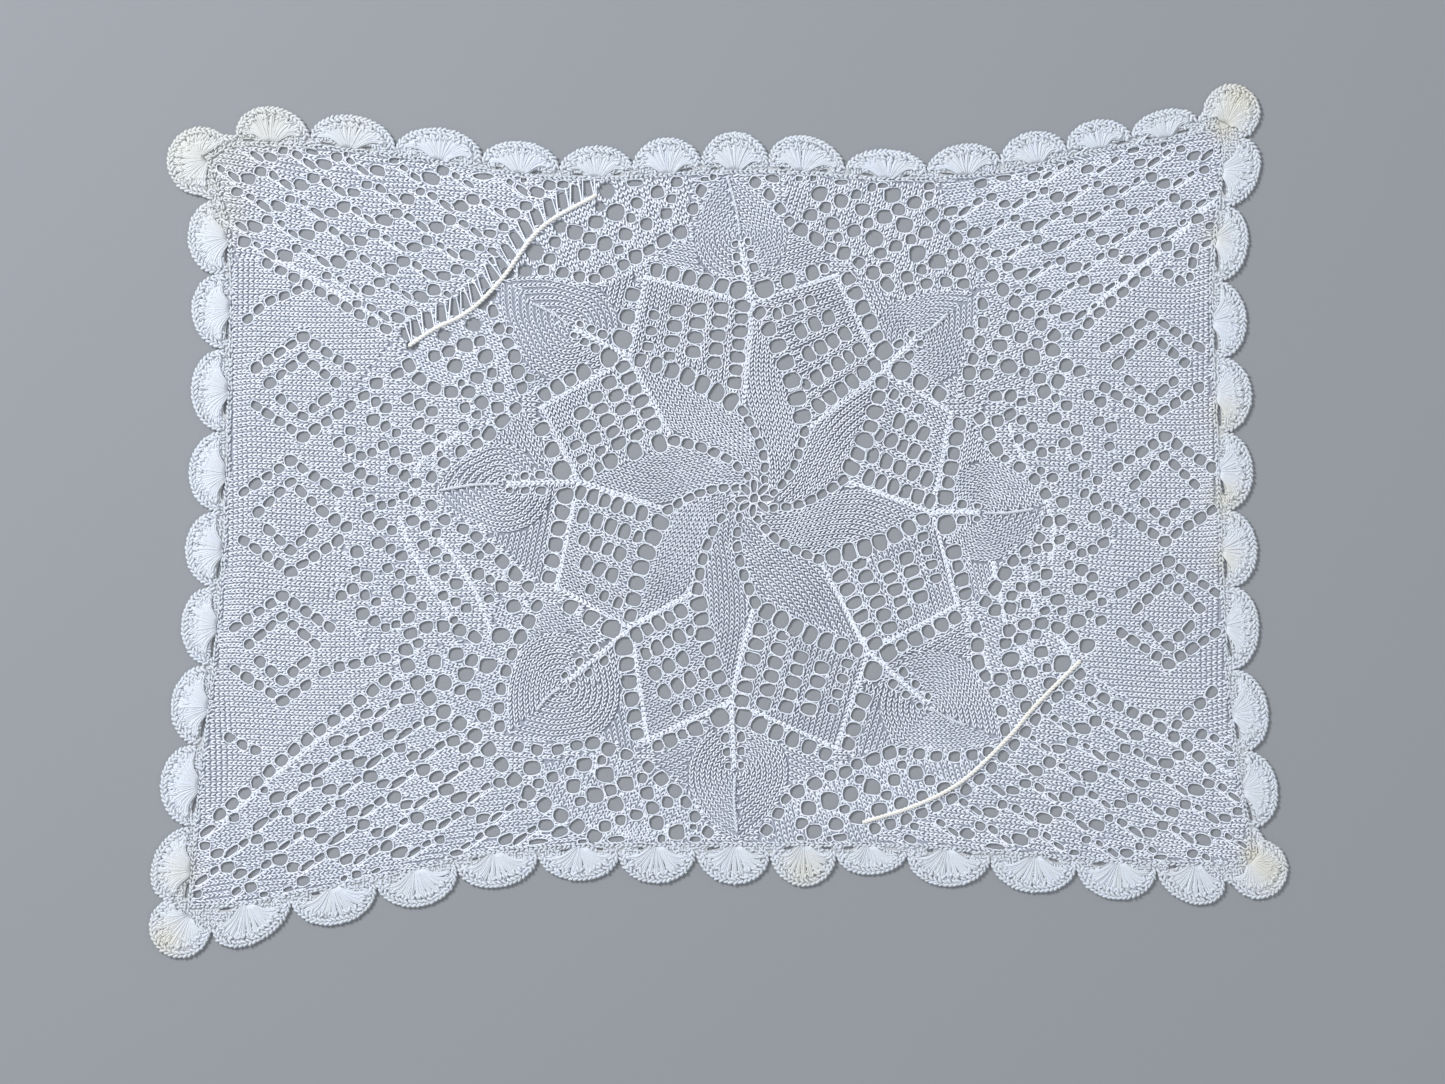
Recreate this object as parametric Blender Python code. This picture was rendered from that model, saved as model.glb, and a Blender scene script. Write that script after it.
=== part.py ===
"""Knitted lace placemat with a crocheted shell edging, lying flat.

The panel is one knitted sheet. Its gaps over 4 mm follow the rounds of the knitting: lines of holes
that swirl out of the middle, mesh fans between the petals, rows beside the leaves, the slanting
frame, the diamonds and the corner lattice. The edging is one ring of shells round it.
Lengths are in millimetres up to the point where a mesh is made, which is in metres.
The origin is the middle of the mat's box on the surface it lies on, +X along its length.
"""

import math
from collections import namedtuple

import bmesh
import bpy
from mathutils import Matrix, Vector
from mathutils.geometry import delaunay_2d_cdt

MM = 0.001

# Heights
PANEL_THICK = 1.4
EDGING_THICK = 1.6
RIDGE_RISE = 0.8
FLUTE_RISE = 0.7
ROOT_RISE = 0.5

# Clearances
PIECE_GAP = 0.3
WEB = 0.9
EDGE_WEB = 1.6

# The middle of the knitting
RING = Vector((15.0, 9.5))
SIDES_OF_ROUND_GAP = 6

# One row for each petal, clockwise from the top: its tip, the point where the line of holes on its
# counter-clockwise side leaves it, the outer point of the fan on that side, and its leaf's eye and
# tip.
Sector = namedtuple("Sector", "tip fork apex eye leaf_tip")
SECTORS = [
    Sector((14, 93), (9.5, 47.5), (-31.5, 104), (9, 120.5), (3.5, 145)),
    Sector((70, 64.5), (36.5, 39), (50, 105), (85, 78.5), (107.5, 96)),
    Sector((91.5, 4), (53.5, 18), (99.5, 46), (111.5, 3.5), (137.5, 5.5)),
    Sector((64.5, -56), (43.5, -16.5), (102.5, -36), (89.5, -78.5), (118, -93)),
    Sector((5.5, -77.5), (16, -35.5), (50.5, -97.5), (7, -106.5), (8, -134.5)),
    Sector((-38, -46), (-9, -30), (-31, -94), (-66.5, -70), (-88.5, -91)),
    Sector((-60.5, 16.5), (-22.5, 4), (-69.5, -29), (-92, 15.5), (-121, 12.5)),
    Sector((-39, 69.5), (-20, 34), (-76, 48.5), (-62.5, 82), (-93, 100.5)),
]
SECTORS = [Sector(*(Vector(point) for point in row)) for row in SECTORS]

# The panel's edge, clockwise, with a point where each side bends
EDGE = {
    "top": [
        (-214.5, 152.5), (-202, 158.5), (-169.5, 157.5), (-134, 153.5), (-117, 151), (-83.5, 145.5),
        (-50, 144), (-21, 145.5), (7, 147), (35.5, 146.5), (70, 143.5), (105, 145), (133, 149.5),
        (160, 156), (187.5, 160.5), (210, 166),
    ],
    "right": [
        (210, 166), (211.5, 151.5), (210, 130.5), (207, 99), (208.5, 53), (210, 21.5), (212.5, -43),
        (215.5, -81), (219.5, -111), (223, -130), (223, -141),
    ],
    "bottom": [
        (223, -141), (212.5, -144), (168, -143), (132.5, -140.5), (96.5, -137.5), (63, -136),
        (6.5, -136), (-58, -136.5), (-94, -139), (-127, -146), (-164, -154), (-197, -160.5),
        (-222, -162),
    ],
    "left": [
        (-222, -162), (-221, -146.5), (-218, -113), (-214, -79.5), (-210, -43.5), (-207, 0.5),
        (-205.5, 51), (-204.5, 103.5), (-207.5, 128.5), (-214.5, 152.5),
    ],
}
EDGE_STEPS = 2

# The shells of each side: where their middles lie along it, and how far they stand out from the seam
SHELLS = {
    "top": [
        (-188, 15.5), (-155, 14.5), (-117, 14), (-83, 14), (-51, 13.5), (-21, 15.5), (7, 16.5),
        (35, 15.5), (71, 12.5), (104, 13.5), (134, 14), (160, 12.5), (188, 12),
    ],
    "right": [
        (147, 16), (118, 14), (84, 14.5), (53, 15.5), (21, 14.5), (-12, 15), (-44, 14.5),
        (-81, 15.5), (-113, 15),
    ],
    "bottom": [
        (200, 17), (168, 16), (133, 15.5), (96, 16), (63, 12.5), (36, 17.5), (7, 16.5),
        (-26, 16), (-58, 14.5), (-94, 15), (-127, 16), (-162, 16), (-198, 17.5),
    ],
    "left": [
        (-146, 17), (-111, 16.5), (-78, 16), (-44, 15.5), (-12, 16), (20, 16), (55, 16),
        (89, 16.5), (119, 17),
    ],
}
# The corner shell that comes before each side, clockwise: its root, middle and radius, and where it
# meets the shells beside it
Corner = namedtuple("Corner", "root middle radius start end")
CORNERS = {
    "top": Corner((-216, 152), (-217, 151), 14.5, (-213, 134.5), (-202.5, 162)),
    "right": Corner((213, 167), (215.5, 171.5), 12.0, (201, 168.5), (219.5, 161)),
    "bottom": Corner((224, -143), (226.5, -146), 12.6, (226, -128.5), (212.5, -151)),
    "left": Corner((-222.5, -166), (-226, -170.5), 13.0, (-212.5, -171), (-229, -159.5)),
}
VALLEY = 3.0
RIM_STEPS = 8
FLUTES = 7
FLUTE_REACH = 0.62
ROOT_REACH = 0.16
CORNER_TURN_STEPS = 13

# The frame's slanting lines, which lie outside the leaves. One row for each: the size of its gaps
# along and across it, how far they lie beside it, whether it is a raised cord, and its points.
FrameLine = namedtuple("FrameLine", "along across beside raised points")
FRAME = [
    FrameLine(
        5.4, 7.0, 6.2, True,
        [(-51, 137), (-74.5, 123), (-92, 103.5), (-106.5, 88), (-125.5, 80), (-134.5, 78.5)],
    ),
    FrameLine(
        5.6, 5.4, 0.0, False,
        [(86.5, 132), (100.5, 118), (112, 106.5), (120.5, 96), (135, 83), (144.5, 75)],
    ),
    FrameLine(
        5.0, 4.6, 5.0, True,
        [(60.5, -126.5), (82.5, -119.5), (102.5, -109), (121.5, -91), (133, -77.5), (152, -58.5)],
    ),
    FrameLine(
        6.0, 6.0, 0.0, False,
        [(-133, -56.5), (-121, -75), (-100, -92), (-83.5, -111), (-66.5, -123.5), (-48, -135)],
    ),
]
RIDGE_HALF = 1.5

# Solid diamonds in the side panels, with a ring of gaps: middle, half width, half height
Diamond = namedtuple("Diamond", "x y half_width half_height")
DIAMONDS = [
    Diamond(-174.5, 57.5, 19, 17),
    Diamond(-180, 1, 19, 17),
    Diamond(-183, -53.5, 19, 17),
    Diamond(182, 64.5, 17, 16),
    Diamond(187.5, 16.5, 16, 16),
    Diamond(189, -37.5, 16, 16),
]
DIAMOND_GAP = 4.8

# Lattices: their middle, the two steps that repeat them, how many steps each way, and the gap's size.
# Only one gap of four in the corners' lattice is cut.
Lattice = namedtuple("Lattice", "x y step_x step_y across_x across_y columns rows along across")
LATTICES = [
    Lattice(-153, 128, 22.3, -2.9, -19.4, -17.6, 1, 1, 6.2, 4.4),
    Lattice(152, 127, 22.3, 2.9, 19.4, -17.6, 1, 1, 6.2, 4.4),
    Lattice(150, -104, 22.3, -2.9, -19.4, -17.6, 1, 1, 6.2, 4.4),
    Lattice(-158, -113, 22.3, 2.9, 19.4, -17.6, 1, 1, 6.2, 4.4),
    Lattice(-138, 16, 18.9, -1.3, -4.2, -22, 1, 1, 6.0, 5.6),
    Lattice(142, 17, 18.9, 1.3, 4.2, -22, 1, 1, 6.0, 5.6),
]

# How many gaps are cut for each repeat, the largest first
FAN_ROWS = (3, 3, 2, 2)
SIDE_SIZES = (7.4, 6.4, 5.8)
FRAME_CUTS = 9

# Places of the gaps, as shares or lengths in the pieces that hold them
SWIRL_SIZES = (8.0, 8.4, 8.8, 8.8, 8.4, 7.4, 5.4)
SWIRL_START = 5.0
SWIRL_END = 6.5
SWIRL_BOW = 0.05
SWIRL_SHARE = 0.7
FAN_GAP = (5.6, 5.2)
FAN_START = 15.0
FAN_TRIMS = (4.0, 6.5, 12.0, 14.0)
FAN_FIRST_SHARE = 0.08
FAN_COLUMN_SHARE = 0.2
SIDE_START = 6.5
SIDE_END = 5.0
SIDE_ROW_GAPS = 6
SIDE_BESIDE = 2.6
SIDE_SHARE = 0.92
FRAME_START = 5.0
FILL_GAP = (6.4, 5.8)
FILL_PLACES = ((9.0, 0.0), (13.0, 9.0), (18.0, -1.0))

Gap = namedtuple("Gap", "middle along across turn sides")


def lerp(a, b, t):
    return a + (b - a) * t


def unit(v):
    return v / v.length


def left_of(v):
    return Vector((-v.y, v.x))


def smooth(points, steps):
    """A curve through the points, with this many steps between each pair."""
    points = [Vector(p) for p in points]
    padded = [points[0] * 2 - points[1], *points, points[-1] * 2 - points[-2]]
    curve = []
    for p0, p1, p2, p3 in zip(padded, padded[1:], padded[2:], padded[3:]):
        for step in range(steps):
            t = step / steps
            curve.append(
                0.5
                * (
                    2 * p1
                    + (p2 - p0) * t
                    + (2 * p0 - 5 * p1 + 4 * p2 - p3) * t**2
                    + (3 * p1 - p0 - 3 * p2 + p3) * t**3
                )
            )
    return [*curve, points[-1]]


def length_of(path):
    return sum((b - a).length for a, b in zip(path, path[1:]))


def along(path, distance):
    """The point this far along a path, and the path's direction there."""
    for a, b in zip(path, path[1:]):
        reach = (b - a).length
        if distance <= reach:
            return lerp(a, b, distance / reach), unit(b - a)
        distance -= reach
    return path[-1], unit(path[-1] - path[-2])


def crossing(path, axis, value):
    """Where a path passes a value of x or y, and its direction there."""
    for a, b in zip(path, path[1:]):
        low, high = sorted((a[axis], b[axis]))
        if low <= value <= high:
            return lerp(a, b, (value - a[axis]) / (b[axis] - a[axis])), unit(b - a)
    raise ValueError(f"the path doesn't reach {value}")


def gap_at(middle, along_size, across_size, direction, sides=SIDES_OF_ROUND_GAP):
    return Gap(middle, along_size, across_size, math.atan2(direction.y, direction.x), sides)


def corners_of(gap):
    """The corners of a gap, a flattened regular polygon turned to its line."""
    corners = []
    for i in range(gap.sides):
        angle = math.tau * (i + 0.5) / gap.sides
        reach = 0.5 / math.cos(math.pi / gap.sides) if gap.sides == 4 else 0.5
        x = gap.along * reach * math.cos(angle)
        y = gap.across * reach * math.sin(angle)
        corners.append(gap.middle + Matrix.Rotation(gap.turn, 2) @ Vector((x, y)))
    return corners


def swirl_gaps():
    """The lines of large holes from each fork out to the tip of the next petal counter-clockwise."""
    gaps = []
    for k, sector in enumerate(SECTORS):
        target = SECTORS[k - 1].tip
        chord = target - sector.fork
        bow = lerp(sector.fork, target, 0.5) - left_of(chord) * SWIRL_BOW
        path = smooth([sector.fork, bow, target], 8)
        pitch = (length_of(path) - SWIRL_START - SWIRL_END) / (len(SWIRL_SIZES) - 1)
        for i, size in enumerate(SWIRL_SIZES):
            point, direction = along(path, SWIRL_START + pitch * i)
            length = min(size * SWIRL_SHARE, pitch - WEB * 1.25)
            gaps.append(gap_at(point, length, size, direction))
    return gaps


def fan_gaps():
    """The mesh of square holes between two petals, in columns along the bars."""
    gaps = []
    for k, sector in enumerate(SECTORS):
        target = SECTORS[k - 1].tip
        for column, (rows, trim) in enumerate(zip(FAN_ROWS, FAN_TRIMS)):
            share = FAN_FIRST_SHARE + FAN_COLUMN_SHARE * column
            low = lerp(sector.fork, target, share)
            high = lerp(sector.tip, sector.apex, share)
            direction = unit(high - low)
            pitch = ((high - low).length - FAN_START - trim) / (rows - 0.5)
            for row in range(rows):
                point = low + direction * (FAN_START + pitch * row)
                gaps.append(gap_at(point, *FAN_GAP, direction, sides=4))
    return gaps


def side_gaps():
    """The rows of round holes from each petal's tip along the outer sides of its two fans."""
    gaps = []
    for k, sector in enumerate(SECTORS):
        ends = ((sector.apex, 1), (SECTORS[(k + 1) % len(SECTORS)].apex, -1))
        for end, side in ends:
            direction = unit(end - sector.tip)
            pitch = ((end - sector.tip).length - SIDE_START - SIDE_END) / (SIDE_ROW_GAPS - 1)
            outwards = left_of(direction) * -side
            for i, size in enumerate(SIDE_SIZES):
                point = sector.tip + direction * (SIDE_START + pitch * i) + outwards * SIDE_BESIDE
                gaps.append(gap_at(point, size * SIDE_SHARE, size, direction))
    return gaps


def frame_gaps():
    gaps = []
    for line in FRAME:
        path = smooth(line.points, 6)
        pitch = (length_of(path) - FRAME_START * 2) / (FRAME_CUTS - 1)
        for i in range(FRAME_CUTS):
            point, direction = along(path, FRAME_START + pitch * i)
            point = point - left_of(direction) * line.beside
            gaps.append(gap_at(point, line.along, line.across, direction))
    return gaps


def fill_gaps():
    """The largest holes of the open mesh between two leaves."""
    gaps = []
    for sector in SECTORS:
        outwards = unit(sector.apex - RING)
        sideways = left_of(outwards)
        for out, beside in FILL_PLACES:
            point = sector.apex + outwards * out + sideways * beside
            gaps.append(gap_at(point, *FILL_GAP, sideways))
    return gaps


def diamond_gaps():
    gaps = []
    for d in DIAMONDS:
        points = [
            Vector((d.x - d.half_width, d.y)),
            Vector((d.x, d.y + d.half_height)),
            Vector((d.x + d.half_width, d.y)),
            Vector((d.x, d.y - d.half_height)),
        ]
        for a, b in zip(points, points[1:] + points[:1]):
            gaps.append(gap_at(lerp(a, b, 0.5), DIAMOND_GAP, DIAMOND_GAP, b - a))
    return gaps


def lattice_gaps():
    gaps = []
    for t in LATTICES:
        step = Vector((t.step_x, t.step_y))
        across = Vector((t.across_x, t.across_y))
        for column in range(-t.columns, t.columns + 1):
            for row in range(-t.rows, t.rows + 1):
                middle = Vector((t.x, t.y)) + step * column + across * row
                gaps.append(gap_at(middle, t.along, t.across, step))
    return gaps


def distance_to(point, path):
    """From a point to the nearest part of a path."""
    nearest = math.inf
    for a, b in zip(path, path[1:]):
        chord = b - a
        share = min(1, max(0, (point - a).dot(chord) / chord.length_squared))
        nearest = min(nearest, (point - a - chord * share).length)
    return nearest


def contains(path, point):
    crossings = 0
    for a, b in zip(path, path[1:]):
        if (a.y > point.y) != (b.y > point.y):
            x = a.x + (b.x - a.x) * (point.y - a.y) / (b.y - a.y)
            crossings += x > point.x
    return crossings % 2 == 1


def kept_gaps(groups, edge, ridges):
    """The gaps that leave enough cloth to their neighbours, the ridges and the panel's edge."""
    closed = [*edge, edge[0]]
    kept = []
    for group in groups:
        for gap in group:
            reach = max(gap.along, gap.across) / 2
            if not contains(closed, gap.middle) or distance_to(gap.middle, closed) < reach + EDGE_WEB:
                continue
            if any(distance_to(gap.middle, path) < reach + RIDGE_HALF + WEB for path in ridges):
                continue
            if all(clear(gap, other) for other in kept):
                kept.append(gap)
    return kept


def reach_towards(gap, direction):
    """How far a gap's ellipse reaches from its middle in a direction, a little more for its corners."""
    angle = math.atan2(direction.y, direction.x) - gap.turn
    x, y = math.cos(angle) / gap.along, math.sin(angle) / gap.across
    corner = 1.12 if gap.sides == 4 else 1.0
    return 0.5 * corner / math.hypot(x, y)


def clear(a, b):
    between = b.middle - a.middle
    if between.length > 14:
        return True
    return between.length > reach_towards(a, between) + reach_towards(b, between) + WEB


def offset(path, distance):
    """A closed clockwise path moved outwards by a distance."""
    moved = []
    count = len(path)
    for i, point in enumerate(path):
        before = unit(point - path[i - 1])
        after = unit(path[(i + 1) % count] - point)
        normal = unit(left_of(before) + left_of(after))
        moved.append(point + normal * distance / max(0.5, normal.dot(left_of(before))))
    return moved


def edge_paths():
    return {side: smooth(points, EDGE_STEPS) for side, points in EDGE.items()}


def closed_edge(paths):
    """The four sides as one clockwise loop without repeated corners."""
    return [point for path in paths.values() for point in path[:-1]]


def leaf_ridges():
    """The raised line from each leaf's eye to its outer tip."""
    return [[lerp(s.eye, s.leaf_tip, share) for share in (0.15, 0.5, 0.85)] for s in SECTORS]


def ridge_lines():
    return [smooth(line.points, 2)[1:-1] for line in FRAME if line.raised] + leaf_ridges()


def ridge_creases(path):
    """The two foot lines of a ridge and its crest, each as points with their rise."""
    feet = ([], [])
    crest = []
    last = len(path) - 1
    for i, point in enumerate(path):
        direction = unit(path[min(last, i + 1)] - path[max(0, i - 1)])
        taper = 0.25 if i in (0, last) else 1.0
        sideways = left_of(direction) * RIDGE_HALF * taper
        feet[0].append((point + sideways, 0.0))
        feet[1].append((point - sideways, 0.0))
        crest.append((point, RIDGE_RISE * taper))
    return [*feet, crest]


def counter_clockwise(loop):
    area = sum(a.x * b.y - b.x * a.y for a, b in zip(loop, loop[1:] + loop[:1]))
    return loop if area > 0 else loop[::-1]


def make_sheet(name, outline, holes, creases, thick, material):
    """A flat sheet with holes, flat below, whose upper face rises along the creases."""
    points, rises, edges, faces = [], [], [], []
    for loop in [outline, *holes]:
        first = len(points)
        points += counter_clockwise(loop)
        rises += [0.0] * len(loop)
        faces.append(list(range(first, first + len(loop))))
    for crease in creases:
        first = len(points)
        points += [point for point, _ in crease]
        rises += [rise for _, rise in crease]
        edges += [(i, i + 1) for i in range(first, len(points) - 1)]
    found, _, triangles, sources, _, inputs = delaunay_2d_cdt(points, edges, faces, 0, 1e-4)
    lifted = [max((rises[i] for i in source), default=0.0) for source in sources]
    mesh = bpy.data.meshes.new(name)
    sheet = bmesh.new()
    corners = [
        sheet.verts.new((point.x * MM, point.y * MM, (thick + rise) * MM))
        for point, rise in zip(found, lifted)
    ]
    for triangle, faces_in in zip(triangles, inputs):
        if list(faces_in) == [0]:
            sheet.faces.new([corners[i] for i in triangle])
    loose = [vert for vert in sheet.verts if not vert.link_faces]
    bmesh.ops.delete(sheet, geom=loose, context="VERTS")
    below = bmesh.ops.extrude_face_region(sheet, geom=sheet.faces[:])
    for vert in (item for item in below["geom"] if isinstance(item, bmesh.types.BMVert)):
        vert.co.z = 0.0
    bmesh.ops.recalc_face_normals(sheet, faces=sheet.faces[:])
    sheet.to_mesh(mesh)
    sheet.free()
    mesh.materials.append(material)
    solid = bpy.data.objects.new(name, mesh)
    bpy.context.scene.collection.objects.link(solid)
    return solid


def yarn_material(name, colour, roughness):
    material = bpy.data.materials.new(name)
    material.use_nodes = True
    shader = material.node_tree.nodes["Principled BSDF"]
    shader.inputs["Base Color"].default_value = (*colour, 1.0)
    shader.inputs["Roughness"].default_value = roughness
    shader.inputs["Metallic"].default_value = 0.0
    return material


def make_panel(paths):
    edge = closed_edge(paths)
    ridges = ridge_lines()
    groups = [
        swirl_gaps(),
        side_gaps(),
        frame_gaps(),
        fan_gaps(),
        fill_gaps(),
        diamond_gaps(),
        lattice_gaps(),
    ]
    gaps = kept_gaps(groups, edge, ridges)
    creases = [crease for path in ridges for crease in ridge_creases(path)]
    holes = [corners_of(gap) for gap in gaps]
    cotton = yarn_material("knitted_cotton", (0.78, 0.82, 0.87), 0.85)
    print("gaps cut:", len(gaps))
    return make_sheet("knitted_panel", edge, holes, creases, PANEL_THICK, cotton)


def side_shells(side, path):
    """For each shell of a side: its root on the seam, its rim from valley to valley, and its axis."""
    axis = 0 if side in ("top", "bottom") else 1
    rows = SHELLS[side]
    places = [place for place, _ in rows]
    between = [(a + b) / 2 for a, b in zip(places, places[1:])]
    corner_names = list(SHELLS)
    after = corner_names[(corner_names.index(side) + 1) % len(corner_names)]
    valleys = [Vector(CORNERS[side].end)]
    for place in between:
        point, direction = crossing(path, axis, place)
        valleys.append(point + left_of(direction) * VALLEY)
    valleys.append(Vector(CORNERS[after].start))
    shells = []
    for (place, height), start, end in zip(rows, valleys, valleys[1:]):
        seam, direction = crossing(path, axis, place)
        outwards = left_of(direction)
        root = seam + outwards * ROOT_REACH * height
        middle = lerp(start, end, 0.5)
        peak = seam + outwards * height
        rim = [start]
        for step in range(1, RIM_STEPS):
            angle = math.pi * step / RIM_STEPS
            rim.append(middle - (end - start) / 2 * math.cos(angle) + (peak - middle) * math.sin(angle))
        shells.append((root, rim))
    return shells


def corner_shell(side):
    """The shell at the corner before a side, which turns about three quarters of a circle."""
    corner = CORNERS[side]
    middle, start, end = Vector(corner.middle), Vector(corner.start), Vector(corner.end)
    first = math.atan2(start.y - middle.y, start.x - middle.x)
    last = math.atan2(end.y - middle.y, end.x - middle.x)
    turn = (first - last) % math.tau
    rim = [start]
    for step in range(1, CORNER_TURN_STEPS):
        angle = first - turn * step / CORNER_TURN_STEPS
        rim.append(middle + Vector((math.cos(angle), math.sin(angle))) * corner.radius)
    return Vector(corner.root), rim


def fan_creases(root, rim, next_valley):
    """Rays of a shell's trebles: from the root to a ring of points that rise and fall in turn."""
    ends = [*rim[1:], next_valley]
    count = FLUTES
    rays = []
    for i in range(count):
        place = (i + 0.5) / count * (len(rim) - 1)
        whole = int(place)
        target = lerp(rim[whole], ends[whole], place - whole)
        reach = lerp(root, target, FLUTE_REACH)
        rays.append([(root, ROOT_RISE), (reach, FLUTE_RISE if i % 2 == 0 else FLUTE_RISE * 0.3)])
    return rays


def make_edging(paths):
    shells = []
    for side in SHELLS:
        shells.append(corner_shell(side))
        shells += side_shells(side, paths[side])
    outline = [point for _, rim in shells for point in rim]
    creases = []
    for i, (root, rim) in enumerate(shells):
        next_rim = shells[(i + 1) % len(shells)][1]
        creases += fan_creases(root, rim, next_rim[0])
    inner = offset(closed_edge(paths), PIECE_GAP)
    cotton = yarn_material("crochet_cotton", (0.84, 0.86, 0.88), 0.8)
    return make_sheet("crochet_edging", outline, [inner], creases, EDGING_THICK, cotton)


def main():
    for thing in list(bpy.data.objects):
        bpy.data.objects.remove(thing)
    paths = edge_paths()
    make_panel(paths)
    make_edging(paths)


main()
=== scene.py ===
"""Looks of a knitted lace placemat with a crocheted shell edging.

The panel is drawn stitch by stitch: a thin back layer with every gap cut through it, a loop of thread
round each gap, and the front legs of the stitches laid along the wales of each part of the knitting.
The edging is built of trebles that spread from a root to a rim of chain stitches.
The layout is in millimetres with +Y up the mat. A mesh is turned to metres when it is made.
"""

import math
from collections import namedtuple

import bmesh
import bpy
import numpy as np
from mathutils import Matrix, Vector
from mathutils.geometry import delaunay_2d_cdt
from mathutils.kdtree import KDTree


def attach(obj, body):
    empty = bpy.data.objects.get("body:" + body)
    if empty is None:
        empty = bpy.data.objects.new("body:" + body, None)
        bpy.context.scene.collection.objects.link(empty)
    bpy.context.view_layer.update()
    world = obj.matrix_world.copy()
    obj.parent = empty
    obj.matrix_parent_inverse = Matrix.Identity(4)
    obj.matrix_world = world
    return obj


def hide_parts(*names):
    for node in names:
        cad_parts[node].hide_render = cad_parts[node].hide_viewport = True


bl_info = {
    "name": "Knitted Lace Placemat",
    "version": (1, 0, 0),
    "blender": (4, 5, 0),
    "location": "View3D > Sidebar > Lace",
    "description": "Builds the stitches, eyelets and shell edging of a knitted lace placemat",
    "category": "Add Mesh",
}

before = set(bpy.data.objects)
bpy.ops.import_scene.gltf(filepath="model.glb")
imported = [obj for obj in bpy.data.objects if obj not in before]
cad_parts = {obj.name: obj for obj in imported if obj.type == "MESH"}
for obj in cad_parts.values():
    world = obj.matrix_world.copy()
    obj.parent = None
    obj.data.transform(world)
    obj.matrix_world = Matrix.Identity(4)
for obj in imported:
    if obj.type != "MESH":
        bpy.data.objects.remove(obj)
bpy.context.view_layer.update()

MM = 0.001
BODY = "root"
# The photograph's width in pixels, its scale and its middle on the mat
IMAGE_WIDTH = 1445
MM_PER_PIXEL = 0.42
VIEW_MIDDLE = (1.7, -8.8)

# The middle of the knitting
RING = np.array([15.0, 9.5])
PETALS = 8

# One row for each petal, clockwise from the top: its tip, the fork where the line of holes on its
# counter-clockwise side leaves it, the outer point of the fan on that side, and its leaf's eye, tip
# and two shoulders.
Sector = namedtuple("Sector", "tip fork apex eye leaf_tip left right")
SECTORS = [
    Sector((14, 93), (9.5, 47.5), (-31.5, 104), (9, 120.5), (3.5, 146), (-10.5, 121.5), (28, 123)),
    Sector((70, 64.5), (36.5, 39), (50, 105), (85, 78.5), (107.5, 96), (75, 93), (102.5, 65)),
    Sector((91.5, 4), (53.5, 18), (99.5, 46), (111.5, 3.5), (137.5, 5.5), (116.5, 25), (121.5, -14.5)),
    Sector(
        (64.5, -56), (43.5, -16.5), (102.5, -36), (89.5, -78.5), (118, -93), (106.5, -61.5),
        (75.5, -93.5),
    ),
    Sector((5.5, -77.5), (16, -35.5), (50.5, -97.5), (7, -106.5), (8, -135), (26.5, -114), (-12, -115)),
    Sector((-38, -46), (-9, -30), (-31, -94), (-66.5, -70), (-88.5, -91), (-54, -90), (-83.5, -56.5)),
    Sector(
        (-60.5, 16.5), (-22.5, 4), (-69.5, -29), (-92, 15.5), (-121, 12.5), (-101, -3), (-98.5, 30.5)
    ),
    Sector((-39, 69.5), (-20, 34), (-76, 48.5), (-62.5, 82), (-93, 100.5), (-83.5, 72.5), (-53, 98.5)),
]
SECTORS = [Sector(*(np.array(point, float) for point in row)) for row in SECTORS]

# The panel's edge, clockwise
EDGE = {
    "top": [
        (-214.5, 152.5), (-202, 158.5), (-169.5, 157.5), (-134, 153.5), (-117, 151), (-83.5, 145.5),
        (-50, 144), (-21, 145.5), (7, 147), (35.5, 146.5), (70, 143.5), (105, 145), (133, 149.5),
        (160, 156), (187.5, 160.5), (210, 166),
    ],
    "right": [
        (210, 166), (211.5, 151.5), (210, 130.5), (207, 99), (208.5, 53), (210, 21.5), (212.5, -43),
        (215.5, -81), (219.5, -111), (223, -130), (223, -141),
    ],
    "bottom": [
        (223, -141), (212.5, -144), (168, -143), (132.5, -140.5), (96.5, -137.5), (63, -136),
        (6.5, -136), (-58, -136.5), (-94, -139), (-127, -146), (-164, -154), (-197, -160.5),
        (-222, -162),
    ],
    "left": [
        (-222, -162), (-221, -146.5), (-218, -113), (-214, -79.5), (-210, -43.5), (-207, 0.5),
        (-205.5, 51), (-204.5, 103.5), (-207.5, 128.5), (-214.5, 152.5),
    ],
}

# The shells of each side: where their middles lie along it, and how far they stand out from the seam
SHELLS = {
    "top": [
        (-188, 15.5), (-155, 14.5), (-117, 14), (-83, 14), (-51, 13.5), (-21, 15.5), (7, 16.5),
        (35, 15.5), (71, 12.5), (104, 13.5), (134, 14), (160, 12.5), (188, 12),
    ],
    "right": [
        (147, 16), (118, 14), (84, 14.5), (53, 15.5), (21, 14.5), (-12, 15), (-44, 14.5),
        (-81, 15.5), (-113, 15),
    ],
    "bottom": [
        (200, 17), (168, 16), (133, 15.5), (96, 16), (63, 12.5), (36, 17.5), (7, 16.5),
        (-26, 16), (-58, 14.5), (-94, 15), (-127, 16), (-162, 16), (-198, 17.5),
    ],
    "left": [
        (-146, 17), (-111, 16.5), (-78, 16), (-44, 15.5), (-12, 16), (20, 16), (55, 16),
        (89, 16.5), (119, 17),
    ],
}
# The corner shell that comes before each side, clockwise
Corner = namedtuple("Corner", "root middle radius start end")
CORNERS = {
    "top": Corner((-216, 152), (-217, 151), 14.5, (-213, 134.5), (-202.5, 162)),
    "right": Corner((213, 167), (215.5, 171.5), 12.0, (201, 168.5), (219.5, 161)),
    "bottom": Corner((224, -143), (226.5, -146), 12.6, (226, -128.5), (212.5, -151)),
    "left": Corner((-222.5, -166), (-226, -170.5), 13.0, (-212.5, -171), (-229, -159.5)),
}
VALLEY = 3.0
RIM_STEPS = 12
CORNER_TURN_STEPS = 18

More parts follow.
